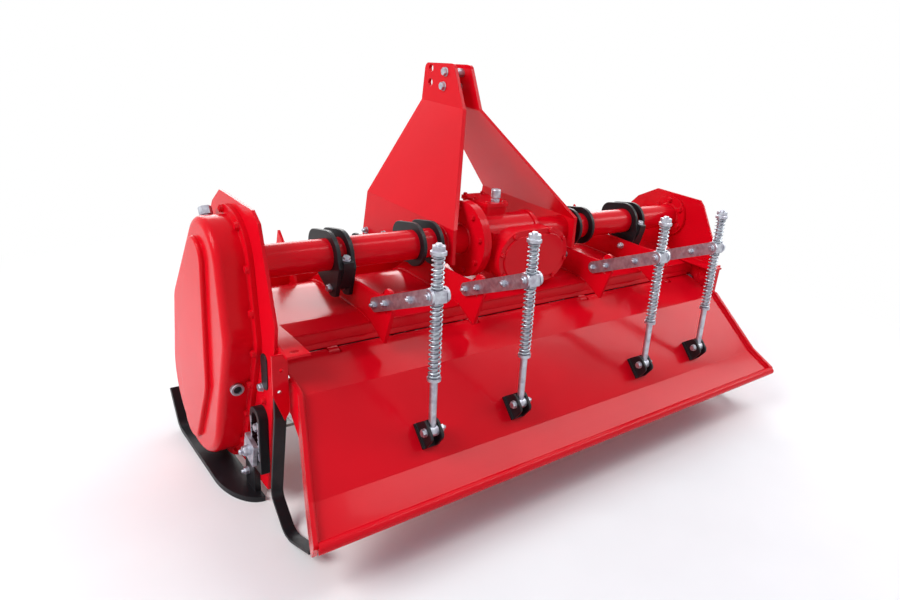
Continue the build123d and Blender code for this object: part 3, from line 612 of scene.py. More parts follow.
class Draft:
    """A mesh in the making: forms are added to it, and then it becomes one piece."""

    def __init__(self) -> None:
        """Starts with an empty mesh."""
        self.mesh = bmesh.new()

    def skin(self, loops: Sequence[Sequence[bmesh.types.BMVert]]) -> None:
        """Joins equal loops of points into a closed form.

        Args:
            loops: The loops from one end to the other.
        """
        count = len(loops[0])
        for low, high in zip(loops, loops[1:]):
            for step in range(count):
                after = (step + 1) % count
                self.mesh.faces.new((low[step], low[after], high[after], high[step]))
        self.mesh.faces.new(list(reversed(loops[0])))
        self.mesh.faces.new(loops[-1])

    def turned(self, place: Matrix, rings: Sequence[Pair], sides: int = 20) -> None:
        """Adds a turned form, or a hexagonal one with six sides.

        Args:
            place: Frame whose Z is the form's axis.
            rings: Radius and height of each ring, from the bottom up.
            sides: Number of sides.
        """
        loops = []
        for radius, height in rings:
            corners = circle((0.0, 0.0), radius, sides, 180 / sides)
            loops.append([self.mesh.verts.new(place @ Vector((*corner, height))) for corner in corners])
        self.skin(loops)

    def splined(self, place: Matrix, rings: Sequence[Pair], splines: int, depth: float) -> None:
        """Adds a shaft with straight splines.

        Args:
            place: Frame whose Z is the shaft's axis.
            rings: Outer radius and height of each ring, from the bottom up.
            splines: Number of splines.
            depth: Depth of the grooves between them.
        """
        corners = [(share, 0.0) for share in SPLINE_TOP] + [(share, depth) for share in SPLINE_GROOVE]
        loops = []
        for radius, height in rings:
            loop = []
            for step in range(splines):
                for share, cut in corners:
                    turn = 2 * math.pi * (step + share) / splines
                    reach = radius - cut
                    corner = Vector((reach * math.cos(turn), reach * math.sin(turn), height))
                    loop.append(self.mesh.verts.new(place @ corner))
            loops.append(loop)
        self.skin(loops)

    def oblong(self, place: Matrix, wide: float, high: float, thick: float) -> None:
        """Adds a flat plate with round ends and a broken edge.

        Args:
            place: Frame whose Z leaves the plate's face and whose Y runs along it.
            wide: Width of the plate.
            high: Length over its ends.
            thick: Thickness.
        """
        half = wide / 2
        loops = []
        for radius, height in ((half, 0.0), (half, thick - PLATE_EDGE), (half - PLATE_EDGE, thick)):
            loop = []
            for across, along in circle((0.0, 0.0), radius, OBLONG_STEPS, 180 / OBLONG_STEPS):
                corner = Vector((across, along + math.copysign(high / 2 - half, along), height))
                loop.append(self.mesh.verts.new(place @ corner))
            loops.append(loop)
        self.skin(loops)

    def prism(self, outline: Sequence[Pair], x: Pair) -> None:
        """Adds a flat plate that stands across the machine.

        Args:
            outline: The plate's corners in Y and Z.
            x: Its two faces.
        """
        self.skin([[self.mesh.verts.new(at(face, *corner)) for corner in outline] for face in x])

    def ring_plate(self, x: Pair, middle: Pair, hole_r: float, outlines: Sequence[Sequence[Pair]]) -> None:
        """Adds a plate with a round hole and the outline of several convex forms together.

        Args:
            x: Its two faces.
            middle: The hole's middle in Y and Z.
            hole_r: The hole's radius.
            outlines: Convex outlines round the hole, counter-clockwise, from the hole's middle.
        """
        low, high = x
        rings: list[list[bmesh.types.BMVert]] = [[], [], [], [], [], []]
        for step in range(RING_STEPS):
            turn = 2 * math.pi * step / RING_STEPS
            reach = max(reach_in(outline, turn) for outline in outlines)
            corners = (
                (low, hole_r),
                (low, reach - PLATE_EDGE),
                (low + PLATE_EDGE, reach),
                (high - PLATE_EDGE, reach),
                (high, reach - PLATE_EDGE),
                (high, hole_r),
            )
            for ring, (face, radius) in zip(rings, corners):
                point = at(face, middle[0] + radius * math.cos(turn), middle[1] + radius * math.sin(turn))
                ring.append(self.mesh.verts.new(point))
        for near, far in zip(rings, rings[1:] + rings[:1]):
            for step in range(RING_STEPS):
                after = (step + 1) % RING_STEPS
                self.mesh.faces.new((near[step], near[after], far[after], far[step]))

    def swept(self, path: Sequence[Vector], radii: Sequence[float], sides: int = 8) -> None:
        """Adds a round bar along a path.

        Args:
            path: Points along the bar's middle in metres.
            radii: The bar's radius at each point in millimetres.
            sides: Number of sides.
        """
        across = (path[1] - path[0]).orthogonal().normalized()
        turns = [2 * math.pi * step / sides for step in range(sides)]
        loops = []
        for index, point in enumerate(path):
            ahead = (path[min(index + 1, len(path) - 1)] - path[max(index - 1, 0)]).normalized()
            across = (across - ahead * across.dot(ahead)).normalized()
            up = ahead.cross(across)
            reach = radii[index] * MM
            ring = [point + (across * math.cos(turn) + up * math.sin(turn)) * reach for turn in turns]
            loops.append([self.mesh.verts.new(corner) for corner in ring])
        self.skin(loops)

    def weld(self, corners: Sequence[Vector], radius: float, ripple_mm: float = 5.0) -> None:
        """Adds a weld bead along a line, with the ripples of the welder's steps.

        Args:
            corners: The line's points in metres.
            radius: Size of the bead in millimetres.
            ripple_mm: Length of one ripple.
        """
        path: list[Vector] = []
        for start, end in zip(corners, corners[1:]):
            steps = max(2, round((end - start).length / (ripple_mm * MM / 2)))
            path += [start.lerp(end, step / steps) for step in range(steps)]
        path.append(corners[-1])
        radii = [radius * (1.0 + WELD_RIPPLE[index % 2]) for index in range(len(path))]
        self.swept(path, radii, sides=6)

    def weld_ring(self, place: Matrix, ring_r: float, radius: float) -> None:
        """Adds a weld bead round a tube.

        Args:
            place: Frame whose Z is the tube's axis.
            ring_r: Radius of the tube.
            radius: Size of the bead.
        """
        ring = circle((0.0, 0.0), ring_r, WELD_STEPS)
        self.weld([place @ Vector((*point, 0)) for point in ring + ring[:1]], radius)

    def piece(
        self, name: str, finish: Finish, body: str = Body.FRAME.value, replaces: Sequence[str] = ()
    ) -> bpy.types.Object:
        """Makes the mesh a piece of the scene that rides on a body.

        Args:
            name: The piece's name.
            finish: What it is coated with.
            body: The body that it moves with.
            replaces: CAD nodes that it stands for.

        Returns:
            The new object.
        """
        bmesh.ops.recalc_face_normals(self.mesh, faces=self.mesh.faces)
        data = bpy.data.meshes.new(name)
        self.mesh.to_mesh(data)
        self.mesh.free()
        data.polygons.foreach_set("use_smooth", [True] * len(data.polygons))
        data.set_sharp_from_angle(angle=math.radians(SHARP_ANGLE))
        data.materials.append(finish.material())
        made = bpy.data.objects.new(name, data)
        bpy.context.scene.collection.objects.link(made)
        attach(made, body)
        if replaces:
            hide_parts(*replaces)
        LOG.info("%s: %d faces on %s", name, len(data.polygons), body)
        return made


@dataclass(frozen=True)
class HexBolt:
    """A hexagon bolt or nut with its washer, as it shows on a face."""

    across: float = 19.0
    head: float = 8.0
    washer: float = 2.5
    thread: float = 0.0
    sink: float = 0.5
    washer_share: float = 0.62
    face_share: float = 0.44
    bar_share: float = 0.3
    pitch: float = 2.0

    def draw(self, draft: Draft, point: Vector, axis: Sequence[float], turn: float = 0.0) -> None:
        """Adds the bolt to a mesh.

        Args:
            draft: The mesh.
            point: Where the bolt's axis meets the face.
            axis: Direction out of the face.
            turn: Degrees that the head is turned.
        """
        place = facing(point, axis, turn)
        corner = self.across / math.sqrt(3)
        if self.washer:
            rim = self.across * self.washer_share
            draft.turned(place, [(rim, -self.sink), (rim, self.washer - 0.4), (rim - 0.6, self.washer)], 20)
        top = self.washer + self.head
        head = [(corner, self.washer - self.sink), (corner, top - 1.6), (corner * 0.9, top)]
        draft.turned(place, head, 6)
        face = self.across * self.face_share
        draft.turned(place, [(face, top - self.sink), (face, top + 0.5)], 20)
        if self.thread:
            bar = self.across * self.bar_share
            rings = [(bar, top)]
            for step in range(int(self.thread / self.pitch)):
                ridge = top + step * self.pitch
                rings += [(bar, ridge + 0.8), (bar * 0.86, ridge + 1.6)]
            rings.append((bar * 0.8, top + self.thread))
            draft.turned(place, rings, 14)


M8 = HexBolt(across=13.0, head=5.5, washer=1.6)
M10 = HexBolt(across=17.0, head=6.5, washer=2.0)
M12 = HexBolt(across=19.0, head=8.0, washer=2.5)
M10_NUT = HexBolt(across=17.0, head=8.0, washer=0.0, thread=6.0)
M12_NUT = HexBolt(across=19.0, head=10.0, washer=2.5, thread=7.0)
M16 = HexBolt(across=24.0, head=10.0, washer=3.0)
M16_NUT = HexBolt(across=24.0, head=13.0, washer=3.0, thread=9.0)


def both(name: str) -> tuple[str, str]:
    """Gives the names of a left and a right piece."""
    return f"{name}_left", f"{name}_right"


@dataclass
class CrossTube:
    """The main tube's two halves, with the bolts and welds of their flanges."""

    tube_r: float = 44.45
    flange_faces: Pair = (-180.0, 89.0)
    flange_bolt_r: Pair = (98.0, 61.0)
    flange_bolts: int = 8
    flange_start: float = 32.5
    side_in: float = 878.0
    end_flange_t: float = 14.0
    end_bolt_r: float = 63.0
    end_bolts: int = 6
    end_start: float = 27.0
    bead_r: float = 5.0
    bead_lift: float = 1.5

    def dress(self) -> None:
        """Paints the tubes."""
        paint(both("tube"), RED)

    def build(self) -> None:
        """Adds the painted flange bolts and the weld beads."""
        bolts = Draft()
        beads = Draft()
        bead_ring = self.tube_r + self.bead_lift
        for side, x, radius, bolt in zip(Side, self.flange_faces, self.flange_bolt_r, (M10, M8)):
            out = (side.value, 0, 0)
            places = circle((0.0, 0.0), radius, self.flange_bolts, self.flange_start)
            for step, (y, z) in enumerate(places):
                bolt.draw(bolts, at(x, y, z), out, 17.0 * step)
            beads.weld_ring(facing(at(x, 0, 0), out), bead_ring, self.bead_r)
        face = self.side_in - self.end_flange_t
        places = circle((0.0, 0.0), self.end_bolt_r, self.end_bolts, self.end_start)
        for step, (y, z) in enumerate(places):
            M12.draw(bolts, at(face, y, z), (-1, 0, 0), 23.0 * step)
        beads.weld_ring(facing(at(face, 0, 0), (-1, 0, 0)), bead_ring, self.bead_r)
        beads.weld_ring(facing(at(-self.side_in, 0, 0), (1, 0, 0)), bead_ring, self.bead_r)
        bolts.piece("tube_flange_bolts", RED)
        beads.piece("tube_welds", RED)


@dataclass
class Gearbox:
    """The gearbox casting with its cover, lid, bolts and filler plug."""

    lid_x: Pair = (-106.0, -10.0)
    lid_y: Pair = (-20.0, 126.0)
    lid_z: float = 110.0
    lid_inset: float = 13.0
    cover_middle: Pair = (8.0, -36.0)
    cover_half_span: float = 54.5
    cover_bolt_r: float = 81.0
    cover_face_y: float = -144.0
    cover_bolts: int = 10
    plug_xy: Pair = (-51.0, 6.0)
    plug_hex: Profile = ((15.0, -0.5), (15.0, 7.0), (13.5, 8.5))
    plug_neck: Profile = ((9.5, 8.0), (9.5, 14.0))
    plug_body: Profile = (
        (13.5, 13.0),
        (15.5, 15.0),
        (15.5, 30.0),
        (14.6, 31.0),
        (15.5, 32.0),
        (15.5, 38.0),
    )
    plug_cap: Profile = ((15.5, 37.5), (14.0, 40.5), (6.0, 41.5))
    boss_y: float = 185.0
    boss_bolt_r: float = 36.0
    boss_bolts: int = 6
    boss_start: float = 30.0
    shaft_r: float = 17.45
    shaft_seat: Pair = (20.0, 60.0)
    shaft_reach: float = 120.0
    splines: int = 6
    spline_depth: float = 3.2
    groove_depth: float = 2.5
    groove_back: tuple[float, ...] = (42.0, 40.0, 32.0, 30.0)
    tip_chamfer: Pair = (2.0, 3.0)

    def dress(self) -> None:
        """Paints the castings."""
        paint(("gearbox_housing", "gearbox_cover", "gearbox_lid"), RED)

    def cover_points(self) -> list[Pair]:
        """Spreads the cover's bolts along its oval rim.

        Returns:
            The bolts' places in X and Z.
        """
        span, radius = self.cover_half_span, self.cover_bolt_r
        straight, bend = 2 * span, math.pi * radius
        total = 2 * (straight + bend)
        points = []
        for step in range(self.cover_bolts):
            along = (step + 0.5) * total / self.cover_bolts
            if along < straight:
                place = (-span + along, radius)
            elif along < straight + bend:
                turn = math.pi / 2 - (along - straight) / radius
                place = (span + radius * math.cos(turn), radius * math.sin(turn))
            elif along < 2 * straight + bend:
                place = (span - (along - straight - bend), -radius)
            else:
                turn = -math.pi / 2 - (along - 2 * straight - bend) / radius
                place = (-span + radius * math.cos(turn), radius * math.sin(turn))
            points.append((self.cover_middle[0] + place[0], self.cover_middle[1] + place[1]))
        return points

    def build(self) -> None:
        """Adds the painted bolts and the bright filler plug."""
        bolts = Draft()
        for x, z in self.cover_points():
            M8.draw(bolts, at(x, self.cover_face_y, z), (0, -1, 0), x + z)
        inset = self.lid_inset
        rows = (self.lid_y[0] + inset, sum(self.lid_y) / 2, self.lid_y[1] - inset)
        for x in (self.lid_x[0] + inset, self.lid_x[1] - inset):
            for y in rows:
                M8.draw(bolts, at(x, y, self.lid_z), (0, 0, 1), x + y)
        places = circle((0.0, 0.0), self.boss_bolt_r, self.boss_bolts, self.boss_start)
        for step, (x, z) in enumerate(places):
            M8.draw(bolts, at(x, self.boss_y, z), (0, 1, 0), 19.0 * step)
        bolts.piece("gearbox_bolts", RED)
        plug = Draft()
        base = facing(at(*self.plug_xy, self.lid_z), (0, 0, 1), 11.0)
        forms = ((self.plug_hex, 6), (self.plug_neck, 20), (self.plug_body, 24), (self.plug_cap, 24))
        for rings, sides in forms:
            plug.turned(base, rings, sides)
        plug.piece("gearbox_filler_plug", ZINC)
        self.build_shaft()

    def build_shaft(self) -> None:
        """Cuts the splines and the locking groove of the input shaft."""
        shaft = Draft()
        seat_r, seat_l = self.shaft_seat
        place = facing(at(0, self.boss_y, 0), (0, 1, 0))
        shaft.turned(place, [(seat_r, -seat_l), (seat_r, -0.5), (seat_r - 1, 0)], 32)
        full, groove = self.shaft_r, self.shaft_r - self.groove_depth
        reach = self.shaft_reach
        drop, slope = self.tip_chamfer
        radii = (full, groove, groove, full)
        rings = [(full, -1.0)]
        rings += [(radius, reach - back) for radius, back in zip(radii, self.groove_back)]
        rings += [(full, reach - slope), (full - drop, reach)]
        shaft.splined(place, rings, self.splines, self.spline_depth)
        shaft.piece("splined_input_shaft", ZINC, Body.PTO.value, ("pto_shaft",))


@dataclass
class Mast:
    """The two bent plates over the gearbox, with their bolts."""

    foot_x: float = 262.0
    head_x: float = 40.0
    spacers: Profile = ((344.0, 470.0), (352.0, 423.0))
    foot_bolts: Profile = ((455.0, -88.0), (330.0, -68.0))
    tube_r: float = 44.45
    bead_r: float = 4.5

    def dress(self) -> None:
        """Paints the plates and plates the distance tubes."""
        paint(both("mast"), RED)
        paint(("mast_spacers",), ZINC)

    def build(self) -> None:
        """Adds the bolts at the head and foot and the welds round the tube."""
        bolts = Draft()
        beads = Draft()
        for side in Side:
            out = (side.value, 0, 0)
            for y, z in self.spacers:
                M16.draw(bolts, at(side.value * self.head_x, y, z), out, y)
            for y, z in self.foot_bolts:
                M12_NUT.draw(bolts, at(side.value * self.foot_x, y, z), out, z)
            ring = facing(at(side.value * (self.foot_x - 1), 0, 0), out)
            beads.weld_ring(ring, self.tube_r + 1.0, self.bead_r)
        bolts.piece("mast_bolts", ZINC)
        beads.piece("mast_welds", RED)


@dataclass
class TubePlates:
    """The clamp and hitch plates on the tube: lobed rings with a foot or an arm, and their bolts."""

    clamp_x: float = 612.0
    clamp_spread: float = 40.0
    hitch_x: float = 325.0
    hitch_spread: float = 62.0
    plate_t: float = 12.0
    hole_r: float = 44.6
    lobe: tuple[Triple, ...] = ((0.0, 0.0, 66.0), (74.0, 10.0, 42.0))
    foot: Profile = (
        (60.0, 10.0),
        (-60.0, 20.0),
        (-76.0, -20.0),
        (-54.0, -108.0),
        (-26.0, -114.0),
        (54.0, -72.0),
    )
    arm: Profile = (
        (30.0, -2.0),
        (20.0, -62.0),
        (300.0, -105.0),
        (400.0, -165.0),
        (454.6, -173.0),
        (454.6, -101.0),
    )
    arm_inset: float = 0.3
    eye: Pair = (470.0, -137.0)
    eye_r: Pair = (14.4, 36.0)
    jaw: Profile = (
        (-48.0, 6.0),
        (-84.0, -2.0),
        (-80.0, -30.0),
        (-58.0, -84.0),
        (-34.0, -60.0),
        (-46.0, -30.0),
    )
    jaw_root: float = 1.0
    nut_yz: Pair = (-66.0, 2.0)
    nut_axis: Triple = (0.0, -0.25, 0.97)
    foot_yz: Pair = (-24.0, -90.0)

    def dress(self) -> None:
        """Says that every plate here gets its coat as it is built."""
        LOG.info("clamps and hitch plates are drawn whole")

    def faces(self, middle: float, spread: float) -> list[Pair]:
        """Gives the faces of a pair of plates.

        Args:
            middle: The pair's place across the machine.
            spread: Distance between the plates' middles.

        Returns:
            The two faces of each plate.
        """
        half = self.plate_t / 2
        return [(middle + step * spread / 2 - half, middle + step * spread / 2 + half) for step in (-1, 1)]

    def build(self) -> None:
        """Draws the plates, the jaws between them and their bolts."""
        lobe = hull(self.lobe)
        bolts = Draft()
        for side in Side:
            word = side.name.lower()
            clamp = Draft()
            middle = side.value * self.clamp_x
            for x in self.faces(middle, self.clamp_spread):
                clamp.ring_plate(x, (0.0, 0.0), self.hole_r, (lobe, self.foot))
            inner = (self.clamp_spread - self.plate_t) / 2
            reach = inner + self.jaw_root
            clamp.prism(self.jaw, (middle - reach, middle + reach))
            clamp.piece(f"clamp_plates_{word}", BLACK, replaces=(f"clamp_{word}",))
            hitch = Draft()
            for x in self.faces(side.value * self.hitch_x, self.hitch_spread):
                hitch.ring_plate(x, (0.0, 0.0), self.hole_r, (lobe,))
                hitch.ring_plate(x, self.eye, self.eye_r[0], (hull(((0.0, 0.0, self.eye_r[1]),)),))
                hitch.prism(self.arm, (x[0] + self.arm_inset, x[1] - self.arm_inset))
            hitch.piece(f"hitch_plates_{word}", BLACK, replaces=(f"hitch_{word}",))
            outer = (self.clamp_spread + self.plate_t) / 2
            M12.draw(bolts, at(middle, *self.nut_yz), self.nut_axis, 10)
            M12.draw(bolts, at(middle - outer, *self.foot_yz), (-1, 0, 0), 5)
            M12.draw(bolts, at(middle + inner, *self.foot_yz), (-1, 0, 0), 40)
        bolts.piece("clamp_bolts", ZINC)


@dataclass
class Hood:
    """The sheet over the rotor with its beam, ribs and gussets, and the welds along them."""

    top_z: float = -140.0
    back: Pair = (-160.0, -150.0)
    crest_y: float = -99.0
    rotor_y: float = 130.0
    rotor_z: float = -370.0
    radius: float = 230.0
    rib_faces: Pair = (-18.0, -8.0)
    rib_bolt: Pair = (-44.0, -84.0)
    rib_bolt_x: tuple[float, ...] = (252.0, 550.0)
    gusset_x: float = 640.0
    gusset_half: float = 4.0
    gusset_bead_y: tuple[float, ...] = tuple(205.0 + 15.0 * step for step in range(10))
    rib_bead_y: tuple[float, ...] = (-156.0, -99.0, 130.0, 150.0, 170.0, 190.0, 208.0, 222.0)
    bead_r: float = 4.0
    side_in: float = 878.0
    rail: Profile = (
        (239.0, -174.0),
        (245.0, -178.0),
        (245.0, -135.0),
        (244.0, -134.0),
        (240.0, -134.0),
        (239.0, -135.0),
    )
    flap: Profile = (
        (-161.0, -199.0),
        (-156.5, -199.0),
        (-156.5, -186.0),
        (-159.0, -184.0),
        (-161.0, -187.0),
    )
    flap_half: float = 846.0

    def dress(self) -> None:
        """Paints the sheet and what stands on it."""
        paint(("hood", "hood_ribs", "front_gussets", "rear_beam"), RED)
        paint(("hinge_rod",), ZINC)

    def surface(self, y: float) -> float:
        """Gives the height of the hood's top at a place along the machine.

        Args:
            y: Distance in front of the tube's axis.

        Returns:
            The height above the tube's axis.
        """
        if y < self.crest_y:
            share = (y - self.back[0]) / (self.crest_y - self.back[0])
            return self.back[1] + share * (self.top_z - self.back[1])
        if y < self.rotor_y:
            return self.top_z
        return self.rotor_z + math.sqrt(self.radius**2 - (y - self.rotor_y) ** 2)

    def build(self) -> None:
        """Adds the weld beads, the front rail and hinge flap, and the bolts of the ribs."""
        beads = Draft()
        for rod in ROD_X:
            for offset in self.rib_faces:
                line = [at(rod + offset, y, self.surface(y) + 1.5) for y in self.rib_bead_y]
                beads.weld(line, self.bead_r)
        for side in Side:
            for edge in (-self.gusset_half, self.gusset_half):
                x = side.value * self.gusset_x + edge
                line = [at(x, y, self.surface(y) + 1.0) for y in self.gusset_bead_y]
                beads.weld(line, self.bead_r)
        beads.piece("hood_welds", RED)
        strips = Draft()
        strips.prism(self.rail, (-self.side_in, self.side_in))
        strips.prism(self.flap, (-self.flap_half, self.flap_half))
        strips.piece("hood_strips", RED)
        bolts = Draft()
        for x in self.rib_bolt_x:
            M12_NUT.draw(bolts, at(x, *self.rib_bolt), (-1, 0, 0), x)
        bolts.piece("rib_bolts", ZINC)


@dataclass
class SpringRods:
    """The four sprung rods: flat bars, swivel blocks, rods, and the coils wound round them."""

    eye: Pair = (-455.0, -343.0)
    swivel: Pair = (-438.0, 22.0)
    swivel_half: float = 16.0
    upper_length: float = 84.0
    lower_length: float = 198.0
    inner_r: float = 12.1
    outer_r: float = 16.5
    pitch: float = 12.0
    slide: float = 114.487
    rod_r: float = 8.5
    bar_out: float = 26.0
    rib_in: float = 8.0
    rib_bolts: Profile = ((-189.0, -88.0), (-245.0, -65.0))
    spacer_bolt: Pair = (-361.0, -12.1)
    seat: Profile = ((18.5, -0.4), (20.0, 1.0), (20.0, 8.5), (17.0, 11.0))
    tip: Triple = (21.0, 26.0, 28.0)
    cap_washer: Profile = ((11.5, -0.5), (11.5, 2.0), (10.8, 2.6))
    cap_pin: Profile = ((7.5, 2.0), (7.5, 7.0), (6.5, 8.0))
    turn_steps: int = 20

    def dress(self) -> None:
        """Plates the bars, blocks and rods."""
        numbers = range(1, len(ROD_X) + 1)
        paint(["spring_bars"], ZINC)
        paint([f"{part}_{number}" for part in ("swivel", "spring_rod") for number in numbers], ZINC)

    def along(self, x: float, distance: float) -> Vector:
        """Gives a point on a rod's axis at a distance above its eye.

        Args:
            x: The rod's place across the machine.
            distance: Millimetres from the eye.

        Returns:
            The point in metres.
        """
        run = Vector((0, self.swivel[0] - self.eye[0], self.swivel[1] - self.eye[1])).normalized()
        return at(x, *self.eye) + run * distance * MM

    def coil(self, x: float, low: float, length: float) -> Draft:
        """Winds a spring with closed end turns round a rod.

        Args:
            x: The rod's place across the machine.
            low: Distance of the spring's foot above the eye.
            length: The spring's length.

        Returns:
            The spring's mesh.
        """
        wire = (self.outer_r - self.inner_r) / 2
        mean = (self.outer_r + self.inner_r) / 2
        turns = round(length / self.pitch) + 1
        lead = (length - 6 * wire) / (turns - 2)
        place = facing(self.along(x, low), self.along(x, low + length) - self.along(x, low))
        path = []
        for step in range(turns * self.turn_steps + 1):
            turn = step / self.turn_steps
            if turn < 1:
                height = wire + 2 * wire * turn
            elif turn > turns - 1:
                height = length - wire - 2 * wire * (turns - turn)
            else:
                height = 3 * wire + lead * (turn - 1)
            angle = 2 * math.pi * turn
            path.append(place @ Vector((mean * math.cos(angle), mean * math.sin(angle), height)))
        spring = Draft()
        spring.swept(path, [wire] * len(path), 8)
        return spring

    def build(self) -> None:
        """Winds the coils and adds the bolts of the bars."""
        span = math.hypot(self.swivel[0] - self.eye[0], self.swivel[1] - self.eye[1])
        foot = span - self.swivel_half - self.lower_length
        bolts = Draft()
        for number, x in enumerate(ROD_X, start=1):
            upper = self.coil(x, span + self.swivel_half, self.upper_length)
            sleeve = (f"upper_spring_{number}",)
            upper.piece(f"upper_coil_{number}", SPRING_WIRE, f"swivel_{number}", sleeve)
            coil = self.coil(x, foot, self.lower_length)
            sleeve = (f"lower_spring_{number}",)
            lower = coil.piece(f"lower_coil_{number}", SPRING_WIRE, f"rod_{number}", sleeve)
            seat = Draft()
            top = self.along(x, span + self.swivel_half + self.upper_length)
            crown = facing(top, self.along(x, span) - self.along(x, 0), 15)
            seat.turned(crown, self.seat, 28)
            seat.turned(crown, list(zip((self.rod_r, self.rod_r, self.rod_r - 1.5), self.tip)), 20)
            seat.piece(f"spring_seat_{number}", ZINC, f"rod_{number}")
            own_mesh(lower)
            for y, z in self.rib_bolts:
                M10_NUT.draw(bolts, at(x - self.bar_out, y, z), (-1, 0, 0), y)
                M10.draw(bolts, at(x - self.rib_in, y, z), (1, 0, 0), z)
            for side in Side:
                out = (side.value, 0, 0)
                M10_NUT.draw(bolts, at(x + side.value * self.bar_out, *self.spacer_bolt), out, 9)
                cap = facing(at(x + side.value * self.bar_out, *self.swivel), out)
                bolts.turned(cap, self.cap_washer, 24)
                bolts.turned(cap, self.cap_pin, 20)
        bolts.piece("bar_bolts", ZINC)


@dataclass
class Board:
    """The trailing board with its end plates, clevises and their pins."""

    half: float = 846.0
    flare: float = 0.325
    top: Pair = (-302.0, -243.0)
    lip: Pair = (-479.0, -420.0)
    end: Pair = (-567.0, -476.0)
    eye: Pair = (-455.0, -343.0)
    hinge: Pair = (-165.0, -216.0)
    ear_x: Pair = (12.5, 20.5)
    ear_shoulder: Triple = (13.0, 2.0, 17.0)
    ear_foot: Triple = (33.0, 4.0, 3.0)
    pin_r: float = 6.0
    hinge_out: float = 12.0
    bead_r: float = 4.0
    base_half: Pair = (25.0, 35.0)
    base_t: float = 8.0

    def dress(self) -> None:
        """Paints the board and its ends."""
        paint(("trailing_board",) + both("board_end"), RED)

    def build_clevises(self, run: Vector, out: Vector, height: float) -> None:
        """Folds the clevises: two round-shouldered ears on a flat base.

        Args:
            run: Direction down the board.
            out: Direction out of the board.
            height: Distance of the pins from the board.
        """
        along, rise, shoulder_r = self.ear_shoulder
        splay, lift, foot_r = self.ear_foot
        rounds = []
        for way in (-1, 1):
            shoulder = run * way * along + out * rise
            foot = run * way * splay - out * (height - lift)
            rounds += [(shoulder.y, shoulder.z, shoulder_r), (foot.y, foot.z, foot_r)]
        wide, long = self.base_half
        eye = Vector((0, *self.eye))
        corners = []
        for way, level in ((-1, 0.0), (1, 0.0), (1, self.base_t), (-1, self.base_t)):
            corner = eye + run * way * long + out * (level - height)
            corners.append((corner.y, corner.z))
        clevises = Draft()
        for x in ROD_X:
            near, far = self.ear_x
            for face in (-far, near):
                faces = (x + face, x + face + far - near)
                clevises.ring_plate(faces, self.eye, self.pin_r, (hull(rounds),))
            clevises.prism(corners, (x - wide, x + wide))
        clevises.piece("folded_clevises", BLACK, Body.BOARD.value, ("board_clevises",))

    def build(self) -> None:
        """Adds the clevises and their pins, the hinge nuts and the welds of the end plates."""
        pins = Draft()
        run = Vector((0, self.lip[0] - self.top[0], self.lip[1] - self.top[1])).normalized()
        out = Vector((0, run.z, -run.y))
        height = Vector((0, self.eye[0] - self.top[0], self.eye[1] - self.top[1])).dot(out)
        self.build_clevises(run, out, height)
        for x in ROD_X:
            M12.draw(pins, at(x - self.ear_x[1], *self.eye), (-1, 0, 0), 12)
            M12_NUT.draw(pins, at(x + self.ear_x[1], *self.eye), (1, 0, 0), 33)
        for side in Side:
            end = side.value * (self.half + self.hinge_out)
            M16.draw(pins, at(end, *self.hinge), (side.value, 0, 0), 8)
        pins.piece("board_pins", ZINC, Body.BOARD.value)
        beads = Draft()
        for side in Side:
            line = []
            for y, z in (self.top, self.lip, self.end):
                reach = self.half + self.flare * (self.top[0] - y) - 1.0
                line.append(at(side.value * reach, y, z + 1.0))
            beads.weld(line, self.bead_r)
        beads.piece("board_end_welds", RED, Body.BOARD.value)


